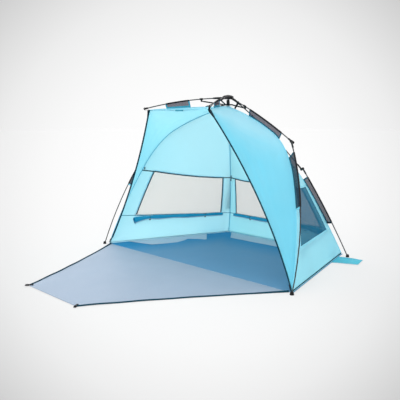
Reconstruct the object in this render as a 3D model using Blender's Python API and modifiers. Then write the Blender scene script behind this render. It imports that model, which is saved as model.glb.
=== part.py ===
"""Beach tent pitched on a folding umbrella-hub frame.

Six arms leave a hub on top. The two front arms hold up the corners of the doorway. The side and
rear arms end in elbows that carry the legs. Struts from a runner under the hub hold the arms out.
The canopy hangs under the frame on mesh strips. Its walls stand on a groundsheet, and a door panel
lies flat in front of the sill. The origin is on the ground under the hub, +X is to the right as
seen from behind the tent's back, -Y is the doorway, and the left half mirrors the right half.
"""
import math

import bmesh
import bpy
from mathutils import Matrix, Vector

# Overall sizes of the pitched tent
FRONT_WIDTH = 2.42
BACK_WIDTH = 1.53
HUB_TO_SILL = 0.545
HUB_TO_BACK = 0.83
HUB_HEIGHT = 1.512

# Where the right-hand arms end: out from the middle, behind the hub, below the hub's pins
CAP_OUT, CAP_BACK, CAP_DROP = 0.423, -0.662, 0.103
SIDE_ELBOW_OUT, SIDE_ELBOW_BACK, SIDE_ELBOW_DROP = 0.876, -0.140, 0.387
REAR_ELBOW_OUT, REAR_ELBOW_BACK, REAR_ELBOW_DROP = 0.454, 0.564, 0.680

# Where the legs stand: outside the floor's corners, and in front of them
SIDE_FOOT_OFFSET, SIDE_FOOT_LEAD = 0.028, 0.040
REAR_FOOT_OFFSET, REAR_FOOT_LEAD = 0.108, 0.065

# Poles, and how far the taut cloth bows them
POLE_RADIUS = 0.005
FRONT_ARM_BOW = 0.022
SIDE_ARM_BOW = 0.020
REAR_ARM_BOW = 0.025
SIDE_LEG_BOW = 0.082
REAR_LEG_BOW = 0.018
POLE_POINTS = 11

# Clearances
GAP = 0.0003
PIN_CLEARANCE = 0.0005
SOCKET_CLEARANCE = 0.0006
OVERRUN = 0.004

# Hub, its slots and the runner
HUB_PIVOT_RADIUS = 0.042
HUB_RADIUS = 0.053
HUB_RIM_TOP = 0.013
HUB_CROWN = 0.024
HUB_CROWN_RADIUS = 0.030
HUB_UNDERSIDE = 0.011
SLOT_INNER_RADIUS = 0.030
SLOT_ROOF = 0.0092
KNUCKLE_WIDTH = 0.012
KNUCKLE_RADIUS = 0.0078
KNUCKLE_LENGTH = 0.048
SLOT_CLEARANCE = 0.0006
NECK_TRIM = 0.0005
NECK_INSET = 0.001
HUB_PIN_RADIUS = 0.0025
PIN_SEAT = 0.003
RUNNER_RADIUS = 0.0148
RUNNER_HEIGHT = 0.016
RUNNER_BORE_RADIUS = 0.0092
LUG_INNER_RADIUS = 0.0105
LUG_END_MARGIN = 0.007
LUG_SIDE = 0.0037
LUG_HEIGHT = 0.012

# Struts and the brackets that they reach
STRUT_REACH = 0.215
FRONT_STRUT_STEP = 0.012
SIDE_STRUT_STEP = 0.018
STRUT_THICKNESS = 0.004
STRUT_WIDTH = 0.009
STRUT_EYE_RADIUS = 0.0056
BRACKET_DROP = 0.020
BRACKET_RADIUS = 0.0092
BRACKET_LENGTH = 0.030
BRACKET_LUG_LENGTH = 0.015
BRACKET_LUG_MARGIN = 0.006

# Elbows, caps and feet
ELBOW_STEP = 0.021
ELBOW_RADIUS = 0.0125
ELBOW_CHEEK = 0.0065
ELBOW_PIN_RADIUS = 0.003
SLEEVE_RADIUS = 0.0078
SLEEVE_LENGTH = 0.058
SLEEVE_PLUG = 0.016
CAP_RADIUS = 0.0088
CAP_LENGTH = 0.034
CAP_PLUG = 0.007
FOOT_RADIUS = 0.016
FOOT_TOP_RADIUS = 0.011
FOOT_HEIGHT = 0.026
FOOT_FLOOR = 0.006

# Cloth
CLOTH = 0.002
MESH_CLOTH = 0.0012
SEAM_INSET = 0.0005
APEX_DROP = 0.080
APEX_TRIM = 0.040
STRIP_WIDTH = 0.052
STRIP_HEM_GAP = 0.0042
DOORWAY_TOP_INSET, DOORWAY_TOP_SETBACK, DOORWAY_TOP_DROP = 0.029, 0.024, 0.012
FRONT_RIDGE_RISE = 0.006
SIDE_RIDGE_RISE = 0.040
REAR_RIDGE_RISE = 0.050
SIDE_WALL_BOW = 0.060
REAR_WALL_BOW = 0.020
DOORWAY_EDGE_BOW = 0.050
ROOF_SAG = 0.020
WALL_SAG = 0.018
FRONT_PANEL_SAG = 0.022
WINDOW_HEM = 0.015
PATCH_RADIUS = 0.046
STRAP_WIDTH = 0.016
STRAP_THICKNESS = 0.002
ROOF_ROWS = 7
FRONT_ROWS = 10

# Shares along the arms, legs and walls, counted from the hub, the elbow or the left edge
POLE_START_SHARE = 0.02
NORMAL_REACH_SHARE = 0.05
RIDGE_ROUND_SHARES = (0.22, 0.20)
WINDOW_TOP_SHARE = 0.30
WINDOW_FOOT_SHARE = 0.73
REAR_WINDOW_TOP_SHARE = 0.165
REAR_WINDOW_FOOT_SHARE = 0.687
SIDE_WINDOW_SHARES = (0.14, 0.905)
BACK_WINDOW_SHARES = (0.08, 0.92)
FRONT_STRIP_SHARES = (0.46, 0.77)
SIDE_ARM_STRIP_SHARES = (0.33, 0.83)
SIDE_LEG_STRIP_SHARES = (0.08, 0.46)
REAR_LEG_STRIP_SHARES = (0.10, 0.62)

# Rows of the walls where the strips are sewn on: 0 at the hub, 1 at the elbow, 2 on the ground
FRONT_SEAM_SHARES = (0.49, 0.79)
SIDE_ARM_SEAM_SHARES = (0.37, 0.86)
SIDE_LEG_SEAM_SHARES = (1.08, 1.46)
REAR_LEG_SEAM_SHARES = (1.182, 1.675)
LAST_FRONT_ROW_SHARE = 1.99

# Rolled window covers
ROLL_RADIUS = 0.014
ROLL_HANG = 0.009
ROLL_DROOP = 0.010
ROLL_GAP = 0.0002
ROLL_POINTS = 17
ROLL_THICK_SHARES = (1.35, 0.75)

# Groundsheet, its sand flaps and the door panel
FLOOR_MARGIN = 0.010
FLAP_LENGTH = 0.20
FLAP_SHARES = (0.735, 0.905)
FLAP_TIP_SHARE = 0.78
DOOR_SIDE_MARGIN = 0.030
DOOR_TOP_MARGIN = 0.044
DOOR_LENGTH_MARGIN = 0.027
DOOR_EDGE_BOW = 0.055
DOOR_EDGE_POINTS = 9

# Zip sliders
SLIDER_WIDTH = 0.012
SLIDER_HEIGHT = 0.020
SLIDER_DEPTH = 0.006
SLIDER_START = 0.045
SLIDER_BORE_RADIUS = 0.0018

UP = Vector((0.0, 0.0, 1.0))
MIRROR_X = Matrix.Scale(-1.0, 4, Vector((1.0, 0.0, 0.0)))
ROUND_STEPS = 16
HUB_STEPS = 36

HUB_TOP = Vector((0.0, 0.0, HUB_HEIGHT))
APEX = HUB_TOP - UP * APEX_DROP
CAP_POINT = Vector((CAP_OUT, CAP_BACK, HUB_HEIGHT - CAP_DROP))
SIDE_ELBOW = Vector((SIDE_ELBOW_OUT, SIDE_ELBOW_BACK, HUB_HEIGHT - SIDE_ELBOW_DROP))
REAR_ELBOW = Vector((REAR_ELBOW_OUT, REAR_ELBOW_BACK, HUB_HEIGHT - REAR_ELBOW_DROP))
WALL_FOOT = CLOTH + GAP
FRONT_CORNER = Vector((FRONT_WIDTH / 2, -HUB_TO_SILL, WALL_FOOT))
BACK_CORNER = Vector((BACK_WIDTH / 2, HUB_TO_BACK, WALL_FOOT))
SIDE_FOOT = Vector((FRONT_CORNER.x + SIDE_FOOT_OFFSET, FRONT_CORNER.y - SIDE_FOOT_LEAD, 0.0))
REAR_FOOT = Vector((BACK_CORNER.x + REAR_FOOT_OFFSET, BACK_CORNER.y - REAR_FOOT_LEAD, 0.0))
DOORWAY_TOP = CAP_POINT + Vector((-DOORWAY_TOP_INSET, DOORWAY_TOP_SETBACK, -DOORWAY_TOP_DROP))


def clear_scene():
    """Remove every object, so that the model starts from nothing."""
    for old in list(bpy.data.objects):
        bpy.data.objects.remove(old, do_unlink=True)


def make_collection(name):
    """Return a new collection in the scene."""
    collection = bpy.data.collections.new(name)
    bpy.context.scene.collection.children.link(collection)
    return collection


def finish_material(name, color, roughness, metallic=0.0):
    """Return a Principled material."""
    material = bpy.data.materials.new(name)
    material.use_nodes = True
    shader = material.node_tree.nodes["Principled BSDF"]
    shader.inputs["Base Color"].default_value = (*color, 1.0)
    shader.inputs["Roughness"].default_value = roughness
    shader.inputs["Metallic"].default_value = metallic
    return material


FINISHES = {
    "pole": ((0.045, 0.047, 0.052), 0.42, 0.3),
    "plastic": ((0.020, 0.021, 0.024), 0.55, 0.0),
    "steel": ((0.16, 0.16, 0.17), 0.35, 0.9),
    "canopy": ((0.20, 0.66, 0.84), 0.75, 0.0),
    "wall": ((0.33, 0.76, 0.88), 0.75, 0.0),
    "floor": ((0.10, 0.28, 0.46), 0.80, 0.0),
    "door": ((0.43, 0.54, 0.66), 0.80, 0.0),
    "roll": ((0.01, 0.30, 0.60), 0.75, 0.0),
    "window": ((0.62, 0.66, 0.68), 0.85, 0.0),
    "strip": ((0.10, 0.10, 0.13), 0.85, 0.0),
    "webbing": ((0.46, 0.43, 0.46), 0.80, 0.0),
    "rubber": ((0.015, 0.015, 0.016), 0.85, 0.0),
}


def named_object(name, mesh, finish):
    """Link a mesh as the sub-part of that name, with a material of its own."""
    mesh.name = name
    mesh.materials.clear()
    mesh.materials.append(finish_material(name + "_finish", *FINISHES[finish]))
    part = bpy.data.objects.new(name, mesh)
    PARTS.objects.link(part)
    return part


def guide_object(mesh):
    """Link a mesh as a cutter, which the model leaves out."""
    guide = bpy.data.objects.new("cutter", mesh)
    guide.hide_render = True
    guide.display_type = "WIRE"
    CUTTERS.objects.link(guide)
    return guide


def mesh_from(shape):
    """Turn a bmesh into a mesh with outward faces."""
    bmesh.ops.recalc_face_normals(shape, faces=shape.faces)
    mesh = bpy.data.meshes.new("shape")
    shape.to_mesh(mesh)
    shape.free()
    return mesh


def rod(start, end, radius, end_radius=None, steps=ROUND_STEPS):
    """Return a closed cylinder or cone between two points."""
    axis = end - start
    shape = bmesh.new()
    turn = axis.to_track_quat("Z", "Y").to_matrix().to_4x4()
    place = Matrix.Translation((start + end) / 2) @ turn
    last = radius if end_radius is None else end_radius
    bmesh.ops.create_cone(shape, cap_ends=True, segments=steps, radius1=radius, radius2=last,
                          depth=axis.length, matrix=place)
    return mesh_from(shape)


def block(centre, along, across, size):
    """Return a box whose sides run along, across and square to both."""
    first = along.normalized()
    third = first.cross(across).normalized()
    second = third.cross(first)
    turn = Matrix((first, second, third)).transposed().to_4x4()
    shape = bmesh.new()
    bmesh.ops.create_cube(shape, size=1.0)
    bmesh.ops.transform(shape, matrix=Matrix.Diagonal((*size, 1.0)), verts=shape.verts)
    bmesh.ops.transform(shape, matrix=Matrix.Translation(centre) @ turn, verts=shape.verts)
    return mesh_from(shape)


def evaluated_mesh(source):
    """Return the mesh that an object shows, with its modifiers applied."""
    graph = bpy.context.evaluated_depsgraph_get()
    return bpy.data.meshes.new_from_object(source.evaluated_get(graph))


def tube(points, radius, radii=None):
    """Return a closed tube through the points, made as a curve and turned into a mesh."""
    curve = bpy.data.curves.new("tube", "CURVE")
    curve.dimensions = "3D"
    curve.bevel_depth = radius
    curve.bevel_resolution = 2
    curve.use_fill_caps = True
    spline = curve.splines.new("POLY")
    spline.points.add(len(points) - 1)
    for index, point in enumerate(points):
        spline.points[index].co = (*point, 1.0)
        spline.points[index].radius = 1.0 if radii is None else radii[index]
    holder = bpy.data.objects.new("tube", curve)
    CUTTERS.objects.link(holder)
    mesh = evaluated_mesh(holder)
    bpy.data.objects.remove(holder, do_unlink=True)
    shape = bmesh.new()
    shape.from_mesh(mesh)
    bmesh.ops.remove_doubles(shape, verts=shape.verts, dist=GAP / 10)
    return mesh_from(shape)


def carve(body, joined=(), cut=()):
    """Join meshes to a body and cut others out of it, and return the result."""
    holder = bpy.data.objects.new("body", body)
    PARTS.objects.link(holder)
    guides = []
    for operation, meshes in (("UNION", joined), ("DIFFERENCE", cut)):
        for mesh in meshes:
            guide = guide_object(mesh)
            guides.append(guide)
            modifier = holder.modifiers.new(operation.lower(), "BOOLEAN")
            modifier.operation = operation
            modifier.solver = "EXACT"
            modifier.object = guide
    result = evaluated_mesh(holder)
    for old in guides + [holder]:
        bpy.data.objects.remove(old, do_unlink=True)
    shape = bmesh.new()
    shape.from_mesh(result)
    bmesh.ops.remove_doubles(shape, verts=shape.verts, dist=GAP / 20)
    bmesh.ops.dissolve_degenerate(shape, edges=shape.edges, dist=GAP / 20)
    return mesh_from(shape)


def set_origin(part, pivot):
    """Move an object's origin to a point on its joint's axis."""
    part.data.transform(Matrix.Translation(-pivot))
    part.location = pivot
    return part


def round_shading(part):
    """Shade a turned or bevelled piece smooth between its sharp edges."""
    part.data.shade_smooth()
    part.data.set_sharp_from_angle(angle=math.radians(35.0))
    return part


def add_pair(name, mesh, finish, pivot=None, smooth=True):
    """Add the right-hand piece and its mirror image on the left."""
    for side in ("right", "left"):
        copy = mesh.copy()
        origin = None if pivot is None else pivot.copy()
        if side == "left":
            copy.transform(MIRROR_X)
            copy.flip_normals()
            if origin is not None:
                origin.x = -origin.x
        part = named_object(f"{name}_{side}", copy, finish)
        if smooth:
            round_shading(part)
        if origin is not None:
            set_origin(part, origin)


def span(first, last, count):
    """Return evenly spaced values from first to last."""
    return [first + (last - first) * index / (count - 1) for index in range(count)]


def bowed(start, end, bow, share):
    """Return a point on a line that the bow vector bends, at a share of its length."""
    return start.lerp(end, share) + bow * (4.0 * share * (1.0 - share))


def chord(curve, stops, place):
    """Return the point of the straight-sided line through a curve's stops."""
    for low, high in zip(stops, stops[1:]):
        if low <= place <= high:
            share = (place - low) / (high - low)
            return curve(low) * (1.0 - share) + curve(high) * share
    return curve(place)


class Arm:
    """One right-hand arm: its pivot in the hub, its outer end, and its strut."""

    def __init__(self, name, end, bow, seat, strut_step):
        self.name = name
        self.end = end
        self.out = Vector((end.x, end.y, 0.0)).normalized()
        self.tangent = UP.cross(self.out)
        self.beside = self.tangent if strut_step > 0.0 else -self.tangent
        self.step = self.tangent * strut_step
        self.pivot = HUB_TOP + self.out * HUB_PIVOT_RADIUS
        self.along = (end - self.pivot).normalized()
        self.over = self.along.cross(self.tangent)
        self.bow = self.over * bow
        self.slope = math.asin(-self.along.z)
        self.stops = span(POLE_START_SHARE, 1.0 - seat / (end - self.pivot).length, POLE_POINTS)

    def point(self, share):
        """Return a point of the bowed pole."""
        return bowed(self.pivot, self.end, self.bow, share)

    def direction(self, share):
        """Return the pole's direction there."""
        return (self.end - self.pivot + self.bow * (4.0 - 8.0 * share)).normalized()

    def strut_pin(self, share):
        """Return the strut's outer pivot for a bracket at a share of the pole."""
        drop = self.direction(share).cross(self.tangent) * BRACKET_DROP
        return self.point(share) - drop + self.step

    def lug_place(self):
        """Return how far beside the arm a lug's middle lies, and how wide the lug is."""
        face = self.step.length - STRUT_THICKNESS / 2 - GAP
        return self.beside * ((face + LUG_SIDE) / 2), face - LUG_SIDE

    def strut_axle(self, pivot):
        """Return the pin that stands on a lug and runs through a strut's eye."""
        inner = pivot - self.beside * (STRUT_THICKNESS / 2 + PIN_SEAT)
        return rod(inner, pivot + self.beside * STRUT_THICKNESS, HUB_PIN_RADIUS)

    def folded(self, place):
        """Return where a point of the arm goes when the arm hangs straight down."""
        turn = Matrix.Rotation(math.pi / 2 - self.slope, 3, self.tangent)
        return self.pivot + turn @ (place - self.pivot)


FRONT_ARM = Arm("front", CAP_POINT, FRONT_ARM_BOW, GAP, -FRONT_STRUT_STEP)
SIDE_ARM = Arm("side", SIDE_ELBOW, SIDE_ARM_BOW, SLEEVE_PLUG + GAP, SIDE_STRUT_STEP)
REAR_ARM = Arm("rear", REAR_ELBOW, REAR_ARM_BOW, SLEEVE_PLUG + GAP, 0.0)
ARMS = (FRONT_ARM, SIDE_ARM, REAR_ARM)
STRUT_ARMS = (FRONT_ARM, SIDE_ARM)


def runner_pin(arm, drop):
    """Return a strut's inner pivot on the runner, straight below the arm's own pivot."""
    return arm.pivot + arm.step - UP * drop


def front_bracket_share():
    """Return the share of the front pole where the bracket's pin is one strut reach away."""
    low, high = 0.0, 1.0
    for _ in range(40):
        middle = (low + high) / 2
        reach = FRONT_ARM.strut_pin(middle) - FRONT_ARM.pivot - FRONT_ARM.step
        low, high = (middle, high) if reach.length < STRUT_REACH else (low, middle)
    return low


FRONT_BRACKET_SHARE = front_bracket_share()
FRONT_PIN = FRONT_ARM.strut_pin(FRONT_BRACKET_SHARE)
OPEN_DROP = 2.0 * (FRONT_ARM.pivot.z - FRONT_PIN.z)
FOLDED_DROP = 2.0 * (FRONT_ARM.pivot.z - FRONT_ARM.folded(FRONT_PIN).z)


def bracket_share(arm):
    """Return the share of the pole where one strut fits both the open and the folded frame."""
    if arm is FRONT_ARM:
        return FRONT_BRACKET_SHARE
    low, high = 0.0, 0.5
    for _ in range(40):
        middle = (low + high) / 2
        pin = arm.strut_pin(middle)
        opened = (pin - runner_pin(arm, OPEN_DROP)).length
        closed = (arm.folded(pin) - runner_pin(arm, FOLDED_DROP)).length
        low, high = (middle, high) if closed > opened else (low, middle)
    return low


class Leg:
    """One right-hand leg, lapped against the side of its arm's elbow."""

    def __init__(self, arm, foot, bow):
        self.arm = arm
        self.foot = foot + UP * FOOT_FLOOR
        lean = (self.foot - arm.end).normalized()
        self.hinge = arm.along.cross(lean).normalized()
        self.top = arm.end - self.hinge * ELBOW_STEP
        self.along = (self.foot - self.top).normalized()
        self.outward = (arm.along - self.along * arm.along.dot(self.along)).normalized()
        self.bow = self.outward * bow
        self.stops = span(POLE_START_SHARE, 1.0, POLE_POINTS)

    def point(self, share):
        """Return a point of the bowed leg."""
        return bowed(self.top, self.foot, self.bow, share)

    def direction(self, share):
        """Return the leg's direction there."""
        return (self.foot - self.top + self.bow * (4.0 - 8.0 * share)).normalized()


SIDE_LEG = Leg(SIDE_ARM, SIDE_FOOT, SIDE_LEG_BOW)
REAR_LEG = Leg(REAR_ARM, REAR_FOOT, REAR_LEG_BOW)
LEGS = (SIDE_LEG, REAR_LEG)


def both_sides(place):
    """Yield a right-hand vector and its mirror image."""
    yield place
    yield Vector((-place.x, place.y, place.z))


def make_hub():
    """Make the domed upper hub with a slot and a pin for each arm."""
    profile = ((0.0, HUB_CROWN), (HUB_CROWN_RADIUS, HUB_CROWN), (HUB_RADIUS, HUB_RIM_TOP),
               (HUB_RADIUS, -HUB_UNDERSIDE), (0.0, -HUB_UNDERSIDE))
    outline = bpy.data.meshes.new("hub_profile")
    edges = [(index, index + 1) for index in range(len(profile) - 1)]
    outline.from_pydata([(radius, 0.0, height) for radius, height in profile], edges, [])
    holder = bpy.data.objects.new("hub_profile", outline)
    CUTTERS.objects.link(holder)
    screw = holder.modifiers.new("turn", "SCREW")
    screw.steps = HUB_STEPS
    screw.render_steps = HUB_STEPS
    screw.use_merge_vertices = True
    screw.merge_threshold = GAP / 10
    body = evaluated_mesh(holder)
    bpy.data.objects.remove(holder, do_unlink=True)
    body.transform(Matrix.Translation(HUB_TOP))
    slots = []
    pins = []
    width = KNUCKLE_WIDTH + 2.0 * SLOT_CLEARANCE
    length = HUB_RADIUS - SLOT_INNER_RADIUS + OVERRUN
    height = SLOT_ROOF + HUB_UNDERSIDE + OVERRUN
    for arm in ARMS:
        for out in both_sides(arm.out):
            centre = HUB_TOP + out * (SLOT_INNER_RADIUS + length / 2)
            centre.z += SLOT_ROOF - height / 2
            slots.append(block(centre, out, UP.cross(out), (length, width, height)))
            half = UP.cross(out) * (width / 2 + PIN_SEAT)
            pivot = HUB_TOP + out * HUB_PIVOT_RADIUS
            pins.append(rod(pivot - half, pivot + half, HUB_PIN_RADIUS))
    slotted = carve(body, cut=slots)
    round_shading(named_object("upper_hub", carve(slotted, joined=pins), "plastic"))


def make_runner():
    """Make the runner under the hub, with a lug and a pin for each strut."""
    level = HUB_TOP - UP * OPEN_DROP
    half = UP * (RUNNER_HEIGHT / 2)
    body = rod(level - half, level + half, RUNNER_RADIUS, steps=HUB_STEPS)
    joined = []
    lug_length = HUB_PIVOT_RADIUS + LUG_END_MARGIN - LUG_INNER_RADIUS
    for arm in STRUT_ARMS:
        side, width = arm.lug_place()
        centre = arm.out * (LUG_INNER_RADIUS + lug_length / 2) + side
        meshes = [block(level + centre, arm.out, arm.tangent, (lug_length, width, LUG_HEIGHT))]
        if arm is FRONT_ARM:
            meshes.append(arm.strut_axle(runner_pin(arm, OPEN_DROP)))
        for mesh in meshes:
            joined.append(mesh)
            other = mesh.copy()
            other.transform(MIRROR_X)
            other.flip_normals()
            joined.append(other)
    run = UP * (RUNNER_HEIGHT / 2 + OVERRUN)
    bore = rod(level - run, level + run, RUNNER_BORE_RADIUS)
    mesh = carve(carve(body, joined=joined), cut=[bore])
    part = round_shading(named_object("runner", mesh, "plastic"))
    set_origin(part, Vector((-FRONT_ARM.pivot.x, FRONT_ARM.pivot.y, level.z)))


def make_arm(arm):
    """Make an arm: the pole with its moulded hub end, as one piece."""
    pole = tube([arm.point(share) for share in arm.stops], POLE_RADIUS)
    half = arm.tangent * (KNUCKLE_WIDTH / 2)
    start = arm.direction(0.0)
    eye = rod(arm.pivot - half, arm.pivot + half, KNUCKLE_RADIUS)
    height = 2.0 * (KNUCKLE_RADIUS - NECK_INSET)
    neck = block(arm.pivot + start * (KNUCKLE_LENGTH / 2), start, arm.tangent,
                 (KNUCKLE_LENGTH, KNUCKLE_WIDTH - NECK_TRIM, height))
    bore = rod(arm.pivot - half * 2.0, arm.pivot + half * 2.0, HUB_PIN_RADIUS + PIN_CLEARANCE)
    mesh = carve(carve(eye, joined=[neck, pole]), cut=[bore])
    add_pair("arm_" + arm.name, mesh, "pole", arm.pivot)


def make_bracket(arm):
    """Make the bracket that slides onto the pole and carries the strut's outer pin."""
    share = bracket_share(arm)
    seat = arm.point(share)
    along = arm.direction(share)
    over = along.cross(arm.tangent)
    half = along * (BRACKET_LENGTH / 2)
    sleeve = rod(seat - half, seat + half, BRACKET_RADIUS)
    depth = BRACKET_DROP + BRACKET_LUG_MARGIN - BRACKET_RADIUS / 2
    side, width = arm.lug_place()
    centre = seat - over * ((depth + BRACKET_RADIUS) / 2) + side
    lug = block(centre, along, arm.tangent, (BRACKET_LUG_LENGTH, width, depth))
    run = along * (BRACKET_LENGTH / 2 + OVERRUN)
    bore = rod(seat - run, seat + run, POLE_RADIUS + GAP)
    mesh = carve(carve(sleeve, joined=[lug, arm.strut_axle(arm.strut_pin(share))]), cut=[bore])
    add_pair("bracket_" + arm.name, mesh, "plastic", arm.pivot)


def make_strut(arm):
    """Make the flat strut from the runner to the bracket, with an eye at each end."""
    outer = arm.strut_pin(bracket_share(arm))
    inner = runner_pin(arm, OPEN_DROP)
    along = outer - inner
    half = arm.tangent * (STRUT_THICKNESS / 2)
    size = (along.length - STRUT_EYE_RADIUS, STRUT_THICKNESS, STRUT_WIDTH)
    bar = block((inner + outer) / 2, along, arm.tangent, size)
    eyes = [rod(end - half, end + half, STRUT_EYE_RADIUS) for end in (inner, outer)]
    radius = HUB_PIN_RADIUS + PIN_CLEARANCE
    bores = [rod(end - half * 2.0, end + half * 2.0, radius) for end in (inner, outer)]
    mesh = carve(carve(bar, joined=eyes), cut=bores)
    add_pair("strut_" + arm.name, mesh, "steel", outer)


def make_elbow(leg):
    """Make the upper half of the elbow, which is plugged onto the arm and holds the pin."""
    arm = leg.arm
    end = arm.end
    back = -arm.direction(1.0)
    inner = -leg.hinge * (ELBOW_STEP / 2 - GAP)
    cheek = rod(end + inner, end + leg.hinge * ELBOW_CHEEK, ELBOW_RADIUS)
    sleeve = rod(end, end + back * SLEEVE_LENGTH, SLEEVE_RADIUS)
    pin = rod(end, end - leg.hinge * (ELBOW_STEP + ELBOW_CHEEK + OVERRUN / 2), ELBOW_PIN_RADIUS)
    bore = rod(end + back * SLEEVE_PLUG, end + back * (SLEEVE_LENGTH + OVERRUN),
               POLE_RADIUS + SOCKET_CLEARANCE)
    mesh = carve(carve(cheek, joined=[sleeve, pin]), cut=[bore])
    add_pair("elbow_" + arm.name, mesh, "plastic", end)


def make_leg(leg):
    """Make a leg: the pole with its moulded elbow lug, as one piece."""
    pole = tube([leg.point(share) for share in leg.stops], POLE_RADIUS)
    top = leg.top
    lug = rod(top - leg.hinge * ELBOW_CHEEK, top + leg.hinge * (ELBOW_STEP / 2 - GAP), ELBOW_RADIUS)
    sleeve = rod(top, top + leg.direction(0.0) * SLEEVE_LENGTH, SLEEVE_RADIUS)
    run = leg.hinge * ELBOW_STEP
    bore = rod(top - run, top + run, ELBOW_PIN_RADIUS + PIN_CLEARANCE)
    mesh = carve(carve(lug, joined=[sleeve, pole]), cut=[bore])
    add_pair("leg_" + leg.arm.name, mesh, "pole", leg.arm.end)


def make_foot(leg):
    """Make the rubber foot that stands flat on the ground around the leg's end."""
    base = Vector((leg.foot.x, leg.foot.y, 0.0))
    body = rod(base, base + UP * FOOT_HEIGHT, FOOT_RADIUS, FOOT_TOP_RADIUS)
    back = -leg.direction(1.0)
    bore = rod(leg.foot - back * (GAP * 2.0), leg.foot + back * (FOOT_HEIGHT + FOOT_RADIUS),
               POLE_RADIUS + SOCKET_CLEARANCE)
    add_pair("foot_" + leg.arm.name, carve(body, cut=[bore]), "rubber", leg.arm.end)


def make_cap():
    """Make the end cap of a front arm, at the doorway's top corner."""
    end = FRONT_ARM.end
    back = -FRONT_ARM.direction(1.0)
    body = rod(end - back * CAP_PLUG, end + back * (CAP_LENGTH - CAP_PLUG), CAP_RADIUS)
    bore = rod(end, end + back * CAP_LENGTH, POLE_RADIUS + SOCKET_CLEARANCE)
    add_pair("end_cap", carve(body, cut=[bore]), "plastic", FRONT_ARM.pivot)


def inner_corner(arm, leg):
    """Return the ridge's corner, one strip width inside the elbow."""
    out = (arm.along - leg.along).normalized()
    half_bend = arm.along.angle(leg.along) / 2
    return arm.end - out * (STRIP_WIDTH / math.cos(half_bend))


def ridge(arm, leg, base, rise, wall_bow, window):
    """Return the ridge under an arm and leg: hub to elbow over 0 to 1, elbow to ground over 1 to 2.

    The window's rows of the walls meet the ridge at the shares given by window.
    """
    corner = inner_corner(arm, leg)
    roof_bow = arm.over * rise
    out = leg.outward * wall_bow
    reach = RIDGE_ROUND_SHARES
    rows = (0.0, WINDOW_TOP_SHARE, WINDOW_FOOT_SHARE, 1.0)
    shares = (0.0, *window, 1.0)

    def straight(place):
        if place <= 1.0:
            return bowed(APEX, corner, roof_bow, place)
        return bowed(corner, base, out, chord(lambda row: shares[rows.index(row)], rows, place - 1.0))

    def rounded(place):
        first, last = 1.0 - reach[0], 1.0 + reach[1]
        if place <= first or place >= last:
            return straight(place)
        share = (place - first) / (last - first)
        low = straight(first).lerp(corner, share)
        high = corner.lerp(straight(last), share)
        return low.lerp(high, share)

    return rounded


SIDE_RIDGE = ridge(SIDE_ARM, SIDE_LEG, FRONT_CORNER, SIDE_RIDGE_RISE, SIDE_WALL_BOW,
                   (WINDOW_TOP_SHARE, WINDOW_FOOT_SHARE))
REAR_RIDGE = ridge(REAR_ARM, REAR_LEG, BACK_CORNER, REAR_RIDGE_RISE, REAR_WALL_BOW,
                   (REAR_WINDOW_TOP_SHARE, REAR_WINDOW_FOOT_SHARE))


def front_ridge(place):
    """Return the ridge under a front arm over 0 to 1, then the doorway's edge over 1 to 2."""
    if place <= 1.0:
        return bowed(APEX, DOORWAY_TOP, UP * FRONT_RIDGE_RISE, place)
    back = Vector((0.0, DOORWAY_EDGE_BOW, 0.0))
    return bowed(DOORWAY_TOP, FRONT_CORNER, back, place - 1.0)


def mirrored(rail):
    """Return the left-hand copy of a rail."""
    def other(place):
        point = rail(place)
        return Vector((-point.x, point.y, point.z))
    return other


class Sheet:
    """A sewn panel ruled between two rails, drawn in by a sag, with its outer side on the right."""

    def __init__(self, start_rail, end_rail, sag):
        self.start_rail = start_rail
        self.end_rail = end_rail
        self.sag = sag

    def point(self, place, share):
        """Return a point of the panel, with its edges held back from the seams."""
        start = self.start_rail(place)
        end = self.end_rail(place)
        run = end - start
        step = run.normalized() * SEAM_INSET
        flat = (start + step).lerp(end - step, share)
        across = 4.0 * share * (1.0 - share)
        down = math.sin(math.pi * min(max(place / 2.0, 0.0), 1.0))
        return flat - self.normal_hint(place) * (self.sag * across * down)

    def row_point(self, place, share):
        """Return a point of the straight stretch between the window's hem and the ground."""
        low = WINDOW_HOLE[1] + WINDOW_HEM / SIDE_ELBOW.z
        return chord(lambda row: self.point(row, share), (low, 2.0), place)

    def normal_hint(self, place):
        """Return the outward direction of the ruled surface at the middle of a row."""
        near = max(place - NORMAL_REACH_SHARE, 0.0)
        far = min(place + NORMAL_REACH_SHARE, 2.0)
        middle = (self.start_rail(far) + self.end_rail(far) - self.start_rail(near) - self.end_rail(near))
        across = self.end_rail(place) - self.start_rail(place)
        return middle.cross(across).normalized()

    def grid(self, places, shares, hole=None):
        """Return the panel's points and faces, without those inside the hole."""
        points = [[self.point(place, share) for share in shares] for place in places]
        faces = []
        columns = len(shares)
        for row in range(len(places) - 1):
            for column in range(columns - 1):
                if hole is not None and inside(hole, places, shares, row, column):
                    continue
                first = row * columns + column
                faces.append((first, first + columns, first + columns + 1, first + 1))
        return [point for line in points for point in line], faces


def inside(hole, places, shares, row, column):
    """Say whether a grid cell lies in the hole."""
    (top, foot), (left, right) = hole
    place = (places[row] + places[row + 1]) / 2
    share = (shares[column] + shares[column + 1]) / 2
    return top < place < foot and left < share < right


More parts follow.
